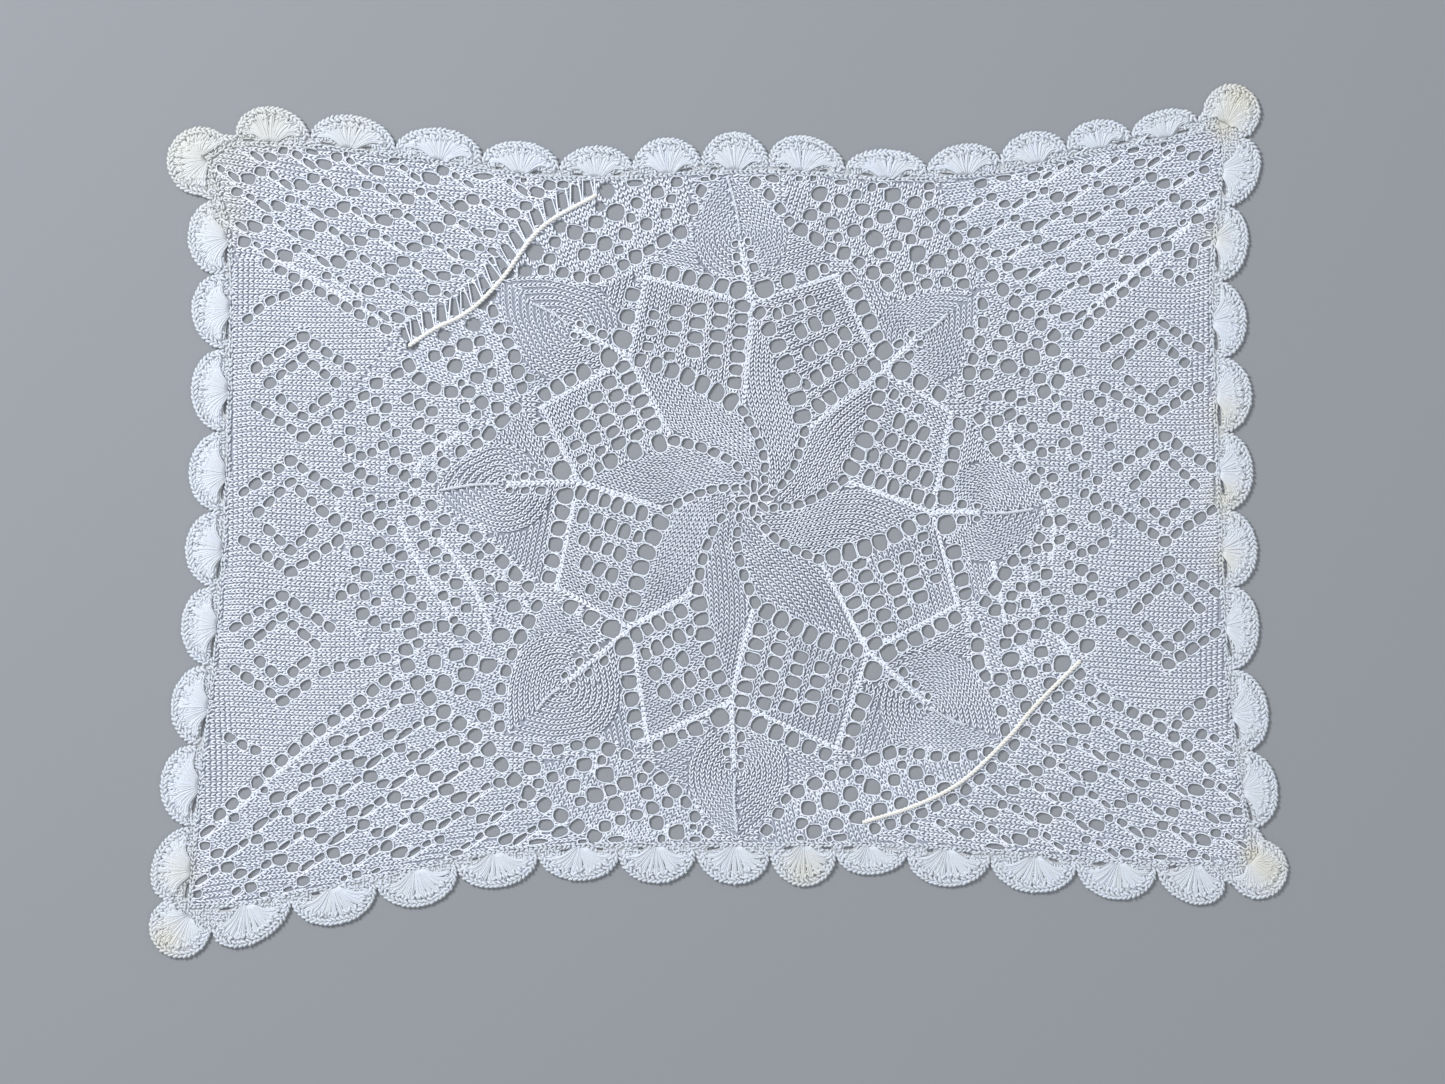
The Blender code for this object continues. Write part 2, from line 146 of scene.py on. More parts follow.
# The frame's slanting lines. One row for each: the size of its gaps along and across it, how far they
# lie beside it, whether it is a raised cord, and its points.
FrameLine = namedtuple("FrameLine", "along across beside raised points")
FRAME_LINES = [
    FrameLine(
        3.9, 6.6, 4.4, True,
        [(-51, 137), (-74.5, 123), (-91, 101.5), (-105, 88), (-119.5, 80.5), (-130, 73.5)],
    ),
    FrameLine(
        5.4, 5.2, 0.0, False,
        [(86.5, 132), (100.5, 118), (112, 106.5), (120.5, 96), (135, 83), (144.5, 75)],
    ),
    FrameLine(
        4.8, 4.4, 4.0, True,
        [(60.5, -126.5), (82.5, -119.5), (102.5, -109), (121.5, -91), (133, -77.5), (152, -58.5)],
    ),
    FrameLine(
        6.0, 6.0, 0.0, False,
        [(-133, -56.5), (-121, -75), (-100, -92), (-83.5, -111), (-66.5, -123.5), (-48, -135)],
    ),
]

# Rows of gaps that part the corners from the side panels, and the V at each end of the frame's lines
Row = namedtuple("Row", "along across points")
BORDER_ROWS = [
    Row(4.8, 3.8, [(-191, 109), (-174, 100), (-155.5, 89.5), (-139.5, 80.5), (-132, 77)]),
    Row(4.6, 3.6, [(-199, 83.5), (-189, 92), (-178, 96), (-174, 100)]),
    Row(5.8, 5.2, [(-131, 67), (-126, 60), (-116, 54.5), (-104, 54), (-97, 48), (-85.5, 48)]),
    Row(5.0, 4.0, [(181, 106), (172, 98), (161.5, 89), (152.5, 80), (147, 74)]),
    Row(4.6, 3.8, [(181, 106), (191, 103), (197, 100), (200, 115)]),
    Row(6.0, 5.4, [(147, 67), (144, 62), (141, 56.5), (131, 52)]),
    Row(
        5.4, 4.6,
        [
            (-133, -61), (-146, -72), (-157, -80.5), (-171, -90.5), (-183.5, -100.5), (-195, -111),
            (-211, -124.5),
        ],
    ),
    Row(4.6, 3.8, [(-207, -90), (-197.5, -95), (-189, -98)]),
    Row(5.0, 4.0, [(-138, -57), (-150, -59.5), (-164, -62.5), (-168, -67)]),
    Row(5.2, 4.4, [(149, -66), (161, -74), (177, -82), (189, -89), (200, -97), (208, -106)]),
    Row(5.2, 4.4, [(191, -87), (198, -80), (203, -76), (208, -71)]),
    Row(5.6, 5.0, [(-131, -48), (-120, -44), (-108, -46), (-100, -50)]),
    Row(5.6, 5.0, [(150, -50), (141, -44), (131, -43), (122, -46)]),
]

# Solid diamonds in the side panels, each in a ring of gaps, with a chevron of gaps above and below it.
# They lie at x and y, and a chevron's point is this far from the middle.
Diamond = namedtuple("Diamond", "x y half_width half_height chevron")
DIAMONDS = [
    Diamond(-174.3, 56.3, 16, 12.4, 21.0),
    Diamond(-179.5, 2.0, 15.5, 14.4, 23.3),
    Diamond(-183, -53.5, 16, 13.6, 22.0),
    Diamond(182, 64.5, 16, 13.6, 21.5),
    Diamond(187.5, 13.5, 14.5, 14.0, 22.0),
    Diamond(189, -38.5, 15, 14.0, 21.5),
]
DIAMOND_GAP = (5.5, 4.2)
RING_GAPS = 14
CHEVRON_POINT = (5.4, 4.6)
CHEVRON_GAPS = 4
CHEVRON_PITCH = 5.9
CHEVRON_SLOPE = 0.66

# Charts of the small repeats. Each cell is a gap: its place, its size and its turn in degrees.
Cell = namedtuple("Cell", "x y along across turn")
CORNER_CHART = [
    Cell(0, 0, 6.8, 4.4, -16),
    Cell(5.3, 3.0, 5.0, 4.0, -10),
    Cell(11.0, 1.3, 4.2, 2.5, -34),
    Cell(16.5, -2.5, 6.6, 2.3, -36),
]
SIDE_CHART = [
    Cell(0, 0, 5.8, 5.2, 0),
    Cell(5, 2.9, 5.0, 4.3, 20),
    Cell(10, 0.4, 4.4, 4.2, 20),
    Cell(14.7, -2.5, 4.8, 4.2, 0),
]
# Where each chart repeats: whether it is flipped left to right, its origin, its two steps, the web
# that it keeps from its outline, the size of its gaps and its outline
Field = namedtuple("Field", "name chart flip origin step across margin size outline")
FIELDS = [
    Field(
        "corner_top_left", CORNER_CHART, False, (-153, 138), (22.3, -2.9), (-9.7, -8.8), 0.3, 1.0,
        [
            (-216, 158), (-202, 164), (-155, 160), (-118, 155), (-83.5, 149), (-52, 148),
            (-75, 128.5), (-92, 109), (-106.5, 93), (-125.5, 83.5), (-137, 82.5), (-152.5, 90.5),
            (-169.5, 101), (-191.5, 110.5), (-206, 109), (-213, 130.5),
        ],
    ),
    Field(
        "corner_top_right", CORNER_CHART, True, (152, 127), (-22.3, -2.9), (9.7, -8.8), 0.3, 0.88,
        [
            (90, 148), (105, 150), (133, 155), (160, 161), (187.5, 166), (212, 170), (213, 135),
            (210, 118), (187.5, 109), (168.5, 96), (154, 85), (144.5, 78), (135, 86.5), (120.5, 99),
            (112, 109.5), (100.5, 121.5),
        ],
    ),
    Field(
        "corner_bottom_right", CORNER_CHART, False, (133.5, -104.5), (22.3, -2.9), (-9.7, -8.8),
        0.3, 0.95,
        [
            (154, -61.5), (173, -75), (194, -84.5), (218, -92), (222, -113), (227, -147),
            (200, -147), (168, -147), (132.5, -144), (96.5, -142), (66, -140), (84.5, -122),
            (103.5, -113), (123, -95.5), (135, -81.5),
        ],
    ),
    Field(
        "corner_bottom_left", CORNER_CHART, True, (-163, -113), (-22.3, -2.9), (9.7, -8.8), 0.3, 1.12,
        [
            (-136, -59), (-123.5, -75.5), (-102.5, -94), (-85.5, -113), (-68.5, -126.5), (-54, -141),
            (-94, -143), (-127, -150), (-160, -157), (-199, -165), (-226, -166), (-223, -142.5),
            (-218, -131), (-211, -127), (-195, -115), (-183, -105), (-170, -95), (-157, -85),
            (-146, -76), (-136, -65),
        ],
    ),
    Field(
        "side_left", SIDE_CHART, False, (-131, 38), (18.9, -1.3), (4.2, -10.5), 1.0, 1.05,
        [
            (-136, 74), (-117, 53), (-100, 51), (-96, 38), (-104.5, 30), (-121, 14), (-104.5, -4),
            (-91.5, -10), (-89.5, -29), (-100, -50), (-134, -56), (-146, -50), (-163, -29),
            (-154.5, -16.5), (-163, 0.5), (-157, 25.5), (-163, 38), (-154.5, 53),
        ],
    ),
    Field(
        "side_right", SIDE_CHART, False, (136, 40.5), (18.9, -1.3), (4.2, -10.5), 1.0, 1.05,
        [
            (147, 69.5), (160, 57), (168.5, 42.5), (164.5, 21.5), (173, 9), (164.5, -12), (168.5, -33),
            (156, -56.5), (126.5, -41.5), (118, -33), (120.5, -20.5), (137.5, 4), (122.5, 21.5),
            (114, 38), (112, 51), (135, 57),
        ],
    ),
]
# The open mesh between two leaves, in front of the fan of each petal, clockwise from the top
FILLS = [
    [(-50, 150), (-10, 150), (-12, 120), (-29, 116), (-33, 103.5), (-53, 101), (-92, 101), (-73, 122)],
    [(28, 150), (89, 149), (97, 122), (108, 105.5), (105.5, 97), (74, 93), (55, 107.5), (28, 120)],
    [(107.5, 97), (122.5, 93), (144.5, 74), (139, 55), (112, 51), (102, 48.5), (101.5, 63.5),
     (103.5, 80)],
    [(122.5, -16.5), (143.5, -29), (154, -54), (122.5, -90), (112, -79.5), (105.5, -58.5),
     (107.5, -41.5), (118, -33)],
    [(74, -96), (112, -96), (101.5, -111), (68, -131), (66, -141), (12, -141), (28, -115),
     (47, -102.5), (63.5, -100.5)],
    [(-12, -115), (-33, -100.5), (-50, -96), (-54, -96), (-83.5, -104.5), (-66.5, -121.5), (-52, -133),
     (-52, -142), (0, -142)],
    [(-134, -56.5), (-92, -50), (-96, -33), (-79, -33), (-83.5, -54), (-88.5, -91), (-102.5, -88),
     (-121, -73)],
    [(-134, 76), (-106.5, 85), (-94, 97), (-83.5, 74), (-77, 57), (-92, 38), (-117, 53)],
]
FILL_PERIOD = 19.0
FILL_CHART = ((0, 0, 6.4, 5.8), (0, 9.5, 5.8, 5.2), (5, 4.8, 4.6, 4.2))

# Raised lines of single wales in the side panels and along the corners
SIDE_RIDGES = [
    [(104, -36), (110.5, -54.5), (116.5, -68.5)],
    [(115, -17), (118, -30), (122, -46), (131, -59)],
    [(128, -17), (132, -33), (136.5, -41.5), (144.5, -51), (151, -61.5)],
    [(122, 40), (128, 26), (136, 12), (141, -4), (139.5, -17)],
    [(-100, 50), (-110, 36), (-124, 26), (-128, 14)],
    [(-128, 14), (-124, 0), (-113, -12), (-102, -30), (-95, -48)],
    [(-134, 2), (-128, -14), (-118, -30), (-110, -46)],
    [(208, 134), (188.5, 115.5), (168.5, 99.5), (154, 86.5)],
    [(159, -71), (173.5, -80), (198, -96), (216, -107)],
    [(-153, -82), (-167.5, -92), (-180, -102), (-192, -112), (-209, -127)],
    [(-188, 111), (-172, 103), (-156, 93), (-141, 84)],
]

# Where a swirling line passes on its way from the ring to its fork: the share of the way out, and how
# far it still has to turn, in degrees
SWIRL_TURNS = ((0.19, 46), (0.45, 22), (0.72, 9))
# A leaf's wing reaches this far out past the fan's outer point and this far back, and the side from its
# shoulder to its tip swells this far
WING_OUT = 7.5
WING_BACK = 5.0
LEAF_SWELL = 2.6
# How far the row along each side of a fan lies outside it. The gaps round a leaf have a pitch, a place
# beside the outline and a size, and the second and third are larger.
FAN_ROW_BESIDE = 2.6
LEAF_ROW_PITCH = 6.6
LEAF_ROW_BESIDE = 3.2
LEAF_ROW_SIZE = 5.0
LEAF_ROW_LARGER = 6.2
# How much the sizes of the gaps in a chart and round a diamond differ
CHART_SPREAD = (0.74, 1.16)
DIAMOND_SPREAD = (0.78, 1.1)

# The least web between two gaps, and how far a gap may shrink to leave it
WEB = 0.7
LEAST_SHARE = 0.62
# An ellipse's sine and cosine are raised to this power, so the gap has fuller corners
SQUARENESS = 0.82

# The crocheted shells
TREBLE_PITCH = 4.0
RIM_INSETS = (0.75, 2.1)
ROOT_SPREAD = 4.8
POST_BOW = 4.4
POST_END = 2.5
POST_WIDTH = (0.26, 0.56, 0.5)
ROPE_PITCH = 2.0
SLIT_PLACE = 1.3
# How full the trebles of each side are, how high they swell, and where plump turns lie on them
Trebles = namedtuple("Trebles", "fullness padding tops")
TREBLES = {
    "corner": Trebles(1.15, 0.5, (0.6, 0.82)),
    "top": Trebles(1.02, 0.3, (0.86,)),
    "right": Trebles(1.12, 0.4, (0.62, 0.84)),
    "bottom": Trebles(0.96, 0.25, (0.88,)),
    "left": Trebles(1.25, 0.6, (0.5, 0.68, 0.86)),
}

# Every draw of chance starts from this
SEED = 7

# The gauge: from wale to wale, and from round to round
WALE = 2.25
ROUND = 1.95
# More wales than the widest petal has
PETAL_WALES = 26
# A stitch's two legs: how far they lie from its middle, how they turn and tilt, and how high they are
LEG_BESIDE = 0.5
LEG_TURN = math.radians(21)
LEG_TILT = math.radians(9)
FACE_HEIGHT = 0.82
# The share of its width that a leg keeps where the knitting is pulled open
STRETCHED_WIDTH = 0.82
# How far a stitch's middle stays from a gap, and how deep in a gap it is when it is left out
STITCH_CLEARANCE = 1.26
DROP_SHARE = 0.74
# How far a grain's ends stay from a gap, and the least half length that is worth keeping
GRAIN_CLEARANCE = 0.15
SHORTEST_GRAIN = 0.35
# How far from the panel's edge the stitches stop, which leaves room for the rows along the seam
SEAM_ROWS = 1.7

# The loop round each gap: how far it lies outside the gap, how high it is, and its number of points
RIM_GROW = 0.42
RIM_HEIGHT = 0.66
RIM_POINTS = 12
# The back layer's underside and face, and how much higher the edging's is
BACK_LOW = 0.1
BACK_HIGH = 0.42
EDGING_RISE = 0.2

# Half the length, width and height of each kind of grain of thread
LOOSE_GRAIN = (1.35, 0.56, 0.46)
DECREASE_GRAIN = (1.7, 0.48, 0.42)
TOP_GRAIN = (1.5, 0.72, 0.5)
RIM_GRAIN = (1.65, 0.78, 0.62)
GROUND_GRAIN = (1.15, 0.58, 0.46)
# Loose threads on the panel and the edging are tried this far apart, and laid this far from the nearest
# stitch or treble
GROUND_PITCH = 1.2
BARE_REACH = 1.0
EDGING_PITCH = 1.25
EDGING_REACH = 0.95

# The lines of chain: how high each kind lies, and how large its stitches are beside a plain one
CHAIN_PITCH = 2.05
PETAL_CHAIN = (0.86, 0.9)
FAN_CHAIN = (0.86, 0.88)
RIB_CHAIN = (1.0, 1.0)
RIDGE_CHAIN = (0.92, 0.92)

# The cords: how high they lie, how far their plies twist in a turn, and for the frame's cords and the
# midribs their steps, how far the plies lie apart, half a ply's width and height, and its sides
CORD_HEIGHT = 1.22
CORD_TWIST = 3.4
Cord = namedtuple("Cord", "steps spread ply sides")
FRAME_CORD = Cord(230, 0.45, (0.54, 0.46), 6)
MIDRIB_CORD = Cord(44, 0.32, (0.42, 0.4), 5)
# Where each leaf's midrib starts, as a share of the way from its tip to its eye
MIDRIB_STARTS = (0.05, 0.5, 0.2, 0.5, 0.15, 0.55, 0.15, 0.5)
# The strands beside the first cord
LADDER_PITCH = 5.9
LADDER_SLANT = -0.4

# The stage: how far the floor reaches, the colour and strength of the light all round, and each lamp's
# place and size in metres and its share of the key light's power
FLOOR_REACH = 12.0
SKY_COLOUR = "#eef1f5"
SKY_STRENGTH = 0.52
Lamp = namedtuple("Lamp", "name place size share")
LAMPS = [
    Lamp("key", (-1.5, 1.25, 1.55), 0.7, 1.0),
    Lamp("fill", (1.4, -0.9, 2.0), 2.0, 0.25),
]

# The cottons: the settings with each one's light and dark colour, and how much its fibres stand out
KNITTED = "knitted_mercerised_cotton"
# The backs of the knitting and of the edging are coloured with painted shade, the dark seen between
# stitches and between trebles
KNITTED_BACK_PAINTED_SHADE = "knitted_mercerised_cotton_back"
CROCHETED = "crocheted_mercerised_cotton"
CROCHETED_BACK_PAINTED_SHADE = "crocheted_mercerised_cotton_back"
TWISTED = "twisted_mercerised_cotton"
Cotton = namedtuple("Cotton", "light dark fibre")
COTTONS = {
    # Bleached stitches, bright and a little bluish, that stand out from what lies behind them
    KNITTED: Cotton("thread", "thread_shade", 0.35),
    # The loops between the stitches, painted dim as the shade seen between them, and painted darkest
    # where the star is pulled open
    KNITTED_BACK_PAINTED_SHADE: Cotton("back", "back_painted_shade", 0.6),
    # The shells, softer and a little duller than the knitting
    CROCHETED: Cotton("edging", "thread_shade", 0.35),
    # The shade between the trebles
    CROCHETED_BACK_PAINTED_SHADE: Cotton("edging_back", "edging_back", 0.6),
    # The raised cords, the creamiest thread of all
    TWISTED: Cotton("cord", "thread", 0.35),
}
# How far apart the clouds in the thread's colour, its fibres and the board's grit are drawn. The real
# fibres and grit are about 0.02 mm, too fine to show, so theirs are this coarse.
CLOUDS = 30.0
FIBRES = 0.5
GRIT = 1.0

# Faint marks of use: where, how far they reach and how strong they are
Stain = namedtuple("Stain", "x y reach strength")
STAINS = [
    Stain(-222, 158, 22, 0.5),
    Stain(-188, 168, 13, 0.45),
    Stain(-153, 166, 10, 0.25),
    Stain(219, 178, 10, 0.8),
    Stain(212, 165, 6, 0.6),
    Stain(212, 45, 7, 0.5),
    Stain(213, 10, 7, 0.6),
    Stain(213, -16, 6, 0.5),
    Stain(209, 120, 6, 0.4),
    Stain(36, -147, 8, 0.6),
    Stain(-232, -176, 8, 0.7),
    Stain(-226, -148, 8, 0.4),
    Stain(231, -146, 8, 0.7),
    Stain(224, -139, 5, 0.6),
    Stain(-205, 128, 10, 0.3),
]


def lerp(a, b, t):
    """The point at a share of the way from one to the other."""
    return a + (b - a) * t


def unit(v):
    """Vectors of the same direction and a length of one."""
    return v / np.maximum(np.linalg.norm(v, axis=-1, keepdims=True), 1e-9)


def left_of(v):
    """Vectors a quarter turn counter-clockwise."""
    return np.stack([-v[..., 1], v[..., 0]], -1)


def angle_of(v):
    """Directions as angles, counter-clockwise from +X."""
    return np.arctan2(v[..., 1], v[..., 0])


def smooth(points, steps):
    """A curve through the points, with this many steps between each pair."""
    points = np.array(points, float)
    padded = np.vstack([2 * points[0] - points[1], points, 2 * points[-1] - points[-2]])
    t = (np.arange(steps) / steps)[:, None]
    parts = []
    for p0, p1, p2, p3 in zip(padded, padded[1:], padded[2:], padded[3:]):
        parts.append(
            0.5
            * (
                2 * p1
                + (p2 - p0) * t
                + (2 * p0 - 5 * p1 + 4 * p2 - p3) * t**2
                + (3 * p1 - p0 - 3 * p2 + p3) * t**3
            )
        )
    return np.vstack([*parts, points[-1:]])


class Path:
    """A line that is followed by distance."""

    def __init__(self, points):
        self.points = np.array(points, float)
        steps = np.linalg.norm(np.diff(self.points, axis=0), axis=1)
        self.reach = np.concatenate([[0.0], np.cumsum(steps)])
        self.length = self.reach[-1]

    def at(self, distance):
        """The points at these distances along the line."""
        columns = [np.interp(distance, self.reach, self.points[:, i]) for i in (0, 1)]
        return np.stack(columns, -1)

    def heading(self, distance):
        """The directions in which the line runs at these distances."""
        ahead = self.at(np.minimum(np.asarray(distance) + 0.3, self.length))
        behind = self.at(np.maximum(np.asarray(distance) - 0.3, 0.0))
        return unit(ahead - behind)

    def crossing(self, axis, value):
        """The distance at which the path first passes a value of x or y."""
        side = np.sign(self.points[:, axis] - value)
        step = np.flatnonzero(side[:-1] * side[1:] <= 0)[0]
        a, b = self.points[step], self.points[step + 1]
        share = (value - a[axis]) / (b[axis] - a[axis])
        return lerp(self.reach[step], self.reach[step + 1], share)


def contains(polygon, points):
    """Which of the points lie inside the polygon."""
    polygon = np.asarray(polygon, float)
    inside = np.zeros(len(points), bool)
    for (x1, y1), (x2, y2) in zip(polygon, np.roll(polygon, -1, axis=0)):
        if y1 == y2:
            continue
        spans = (y1 > points[:, 1]) != (y2 > points[:, 1])
        inside ^= spans & (points[:, 0] < x1 + (x2 - x1) * (points[:, 1] - y1) / (y2 - y1))
    return inside


def distance_to(path, points):
    """From each point to the nearest part of a path."""
    nearest = np.full(len(points), np.inf)
    for a, b in zip(path, path[1:]):
        chord = b - a
        share = np.clip((points - a) @ chord / max(chord @ chord, 1e-9), 0, 1)
        nearest = np.minimum(nearest, np.linalg.norm(points - a - share[:, None] * chord, axis=1))
    return nearest


def polar(radius, degrees):
    """A point about the ring, with its angle clockwise from +Y."""
    turn = math.radians(degrees)
    return RING + radius * np.array([math.sin(turn), math.cos(turn)])


def radius_towards(along, across, turn, direction):
    """How far an ellipse reaches in a direction."""
    bearing = angle_of(direction) - turn
    return 1 / np.hypot(np.cos(bearing) * 2 / along, np.sin(bearing) * 2 / across)


def ellipse_share(points, rows, clearance):
    """How far out of each grown ellipse the points lie, where 1 is its edge."""
    away = points - rows[..., :2]
    cosine, sine = np.cos(rows[..., 4]), np.sin(rows[..., 4])
    x = (away[..., 0] * cosine + away[..., 1] * sine) / (rows[..., 2] / 2 + clearance)
    y = (away[..., 1] * cosine - away[..., 0] * sine) / (rows[..., 3] / 2 + clearance)
    return np.hypot(x, y)


class Gaps:
    """The gaps of the lace: their middles, their sizes along and across, and their turns."""

    def __init__(self):
        self.rows = np.zeros((0, 5))

    def add(self, middle, along, across, turn):
        """A gap of just this size."""
        self.rows = np.vstack([self.rows, (middle[0], middle[1], along, across, turn)])

    def fit(self, middle, along, across, turn, least=LEAST_SHARE):
        """A gap made small enough to leave a web to its neighbours, or none if it would be tiny."""
        away = middle - self.rows[:, :2]
        theirs = radius_towards(self.rows[:, 2], self.rows[:, 3], self.rows[:, 4], away)
        ours = radius_towards(along, across, turn, away)
        room = (np.linalg.norm(away, axis=1) - theirs - WEB) / ours
        share = min(1.0, room.min(initial=1.0))
        if share >= least:
            self.add(middle, along * share, across * share, turn)

    def add_row(self, path, sizes, start, end, beside=0.0):
        """Gaps along a path, evenly between its start and end, a little to its left."""
        for place, (along, across) in zip(np.linspace(start, path.length - end, len(sizes)), sizes):
            heading = path.heading(place)
            self.fit(path.at(place) + left_of(heading) * beside, along, across, angle_of(heading))


def swirl_path(k):
    """The line of holes from the ring out to a fork, and on to the tip of the petal before it."""
    fork = SECTORS[k].fork
    target = SECTORS[k - 1].tip
    reach = fork - RING
    radius = math.hypot(*reach)
    turn = math.degrees(math.atan2(reach[0], reach[1]))
    inner = [*(polar(radius * share, turn + more) for share, more in SWIRL_TURNS), fork]
    bow = lerp(fork, target, 0.5) - left_of(target - fork) * 0.05
    return smooth(inner, 8), smooth([fork, bow, target], 8)


def wale_path(k):
    """The way that a petal's wales run, from the ring round past its fork to its tip."""
    inner, _ = swirl_path(k)
    sector = SECTORS[k]
    return smooth([inner[0], inner[8], inner[16], lerp(sector.fork, sector.tip, 0.3), sector.tip], 8)


def fan_point(k, side):
    """The outer point of the fan on one side of a leaf."""
    return SECTORS[k if side > 0 else (k + 1) % PETALS].apex


def leaf_outline(k, side):
    """A leaf's outer edge from its wing, by the fan's outer point, round its shoulder to its tip."""
    sector = SECTORS[k]
    apex = fan_point(k, side)
    shoulder = sector.left if side > 0 else sector.right
    outwards = unit(apex - RING)
    wing = apex + outwards * WING_OUT + unit(sector.tip - apex) * WING_BACK
    outer = left_of(unit(sector.leaf_tip - shoulder)) * side
    swell = lerp(shoulder, sector.leaf_tip, 0.5) + outer * LEAF_SWELL
    return smooth([wing, lerp(wing, shoulder, 0.55), shoulder, swell, sector.leaf_tip], 8)


def leaf_polygon(k):
    """A leaf with its wings and its stalk."""
    return np.vstack([leaf_outline(k, 1), leaf_outline(k, -1)[::-1][1:], SECTORS[k].tip[None]])


def petal_polygon(k):
    """A petal, from the ring to its tip."""
    inner, _ = swirl_path(k)
    next_inner, next_outer = swirl_path((k + 1) % PETALS)
    return np.vstack([inner, SECTORS[k].tip[None], next_outer[::-1], next_inner[::-1], [RING]])


def fan_polygon(k):
    """The fan of holes between two petals' tips."""
    sector = SECTORS[k]
    return np.array([sector.fork, sector.tip, sector.apex, SECTORS[k - 1].tip])


def closed(polygon):
    """The polygon as a path that ends where it starts."""
    return np.vstack([polygon, polygon[:1]])


EDGE_PATHS = {side: Path(smooth(points, 2)) for side, points in EDGE.items()}
PANEL = np.vstack([path.points[:-1] for path in EDGE_PATHS.values()])


def from_edge(points):
    """How far each point lies from the panel's edge."""
    return distance_to(closed(PANEL), points)


# The sizes along and across of the gaps of each swirling line, from the ring to the fork and on out
SWIRL_INNER = [(3.4, 2.8), (4.0, 3.2), (4.4, 3.4), (4.8, 3.6), (5.0, 3.8), (5.2, 4.0), (5.2, 4.4)]
SWIRL_OUTER = [(6.2, 7.2), (6.2, 7.6), (6.2, 7.6), (6.2, 7.2), (6.0, 6.8), (5.6, 6.4), (5.0, 5.4)]
# The fans: their columns, the first one's place and the step to the next as shares of the fan's width,
# how far short of its end each column stops, the size of its gaps, and their pitch and full size
FAN_COLUMNS = 5
FAN_FIRST = 0.075
FAN_SHARE = 0.19
FAN_ENDS = (3.5, 6.5, 9.0, 12.0, 16.0)
FAN_SIZES = (1.0, 1.0, 1.0, 1.0, 0.72)
FAN_PITCH = 5.85
FAN_GAP = (5.0, 6.6)
# The sizes of the gaps beside each fan, outwards, and of the pairs at each leaf's base
SIDE_ROW = (8.2, 7.2, 6.6, 6.4, 6.2, 5.6)
BASE_PAIRS = (4.4, 4.0, 3.4, 2.6)


def star_gaps(gaps):
    """The gaps of the middle: the ring, the swirling lines and the fans."""
    gaps.add(RING, 3.4, 3.4, 0.0)
    for k, sector in enumerate(SECTORS):
        inner, outer = swirl_path(k)
        start = inner[0] - RING
        turn = math.degrees(math.atan2(start[0], start[1])) + 8
        gaps.add(polar(5.2, turn), 5.0, 2.4, math.radians(90 - turn))
        gaps.add_row(Path(inner), SWIRL_INNER, 2.0, 1.5)
        gaps.add_row(Path(outer), SWIRL_OUTER, 5.0, 6.5)
        before = SECTORS[k - 1].tip
        for column, end in enumerate(FAN_ENDS):
            share = FAN_FIRST + FAN_SHARE * column
            low = lerp(sector.fork, before, share)
            high = lerp(sector.tip, sector.apex, share)
            bar = Path([low, high])
            start = 7.5 if column else 9.0
            count = max(2, round((bar.length - start - end) / FAN_PITCH) + 1)
            size = np.array(FAN_GAP) * FAN_SIZES[column]
            gaps.add_row(bar, [size] * count, start, end)


def leaf_gaps(gaps):
    """The rows beside the fans, the pairs at each leaf's base and the gaps round its edge."""
    sizes = [(size * 0.92, size) for size in SIDE_ROW]
    for k, sector in enumerate(SECTORS):
        for side in (1, -1):
            path = Path([sector.tip, fan_point(k, side)])
            gaps.add_row(path, sizes, 6.5, 5.0, -side * FAN_ROW_BESIDE)
        rib = unit(sector.eye - sector.tip)
        reach = math.dist(sector.eye, sector.tip)
        for i, size in enumerate(BASE_PAIRS):
            middle = sector.tip + rib * (7.5 + (reach - 9.0) * i / 3.4)
            for side in (-1, 1):
                beside = left_of(rib) * side * (3.6 - 0.3 * i)
                gaps.fit(middle + beside, size, size * 0.85, angle_of(rib))
    for k in range(PETALS):
        for side in (1, -1):
            path = Path(leaf_outline(k, side))
            count = round((path.length - 6) / LEAF_ROW_PITCH)
            for i in range(count):
                place = 3 + (path.length - 8) * i / (count - 1)
                heading = path.heading(place)
                middle = path.at(place) + left_of(heading) * side * LEAF_ROW_BESIDE
                size = LEAF_ROW_LARGER if i in (1, 2) else LEAF_ROW_SIZE
                size = min(size, 2 * (from_edge(middle[None])[0] - 0.7))
                if contains(PANEL, middle[None])[0] and size > 2.4:
                    gaps.fit(middle, size, size * 0.86, angle_of(heading))


def ladder_places(path):
    """Where the strands leave the first raised cord: between each pair of its large gaps."""
    return np.arange(1.0, path.length, LADDER_PITCH)


def ladder_gaps(gaps, path):
    """Large gaps by the cord, and a smaller one beyond the foot of each pair of strands."""
    for place in ladder_places(path):
        for ahead, (along, across), beside in ((0.5, (4.3, 6.8), 4.6), (0.0, (2.8, 3.8), 8.0)):
            spot = min(place + ahead * LADDER_PITCH, path.length)
            heading = path.heading(spot)
            middle = path.at(spot) - left_of(heading) * beside + heading * beside * LADDER_SLANT
            gaps.fit(middle, along, across, angle_of(heading) + math.atan(LADDER_SLANT) * 0.6)


def frame_gaps(gaps):
    """The rows along the frame's lines and between the parts of the ground."""
    ladder_gaps(gaps, Path(smooth(FRAME_LINES[0].points, 6)))
    for line in FRAME_LINES[1:]:
        path = Path(smooth(line.points, 6))
        pitch = line.along + 1.7
        count = int((path.length - 2) / pitch)
        sizes = [(line.along, line.across)] * count
        gaps.add_row(path, sizes, 1 + pitch / 2, 1 + pitch / 2, -line.beside)
    for row in BORDER_ROWS:
        path = Path(smooth(row.points, 4))
        for place in np.arange(2.0, path.length, row.along + 1.5):
            gaps.fit(path.at(place), row.along, row.across, angle_of(path.heading(place)))


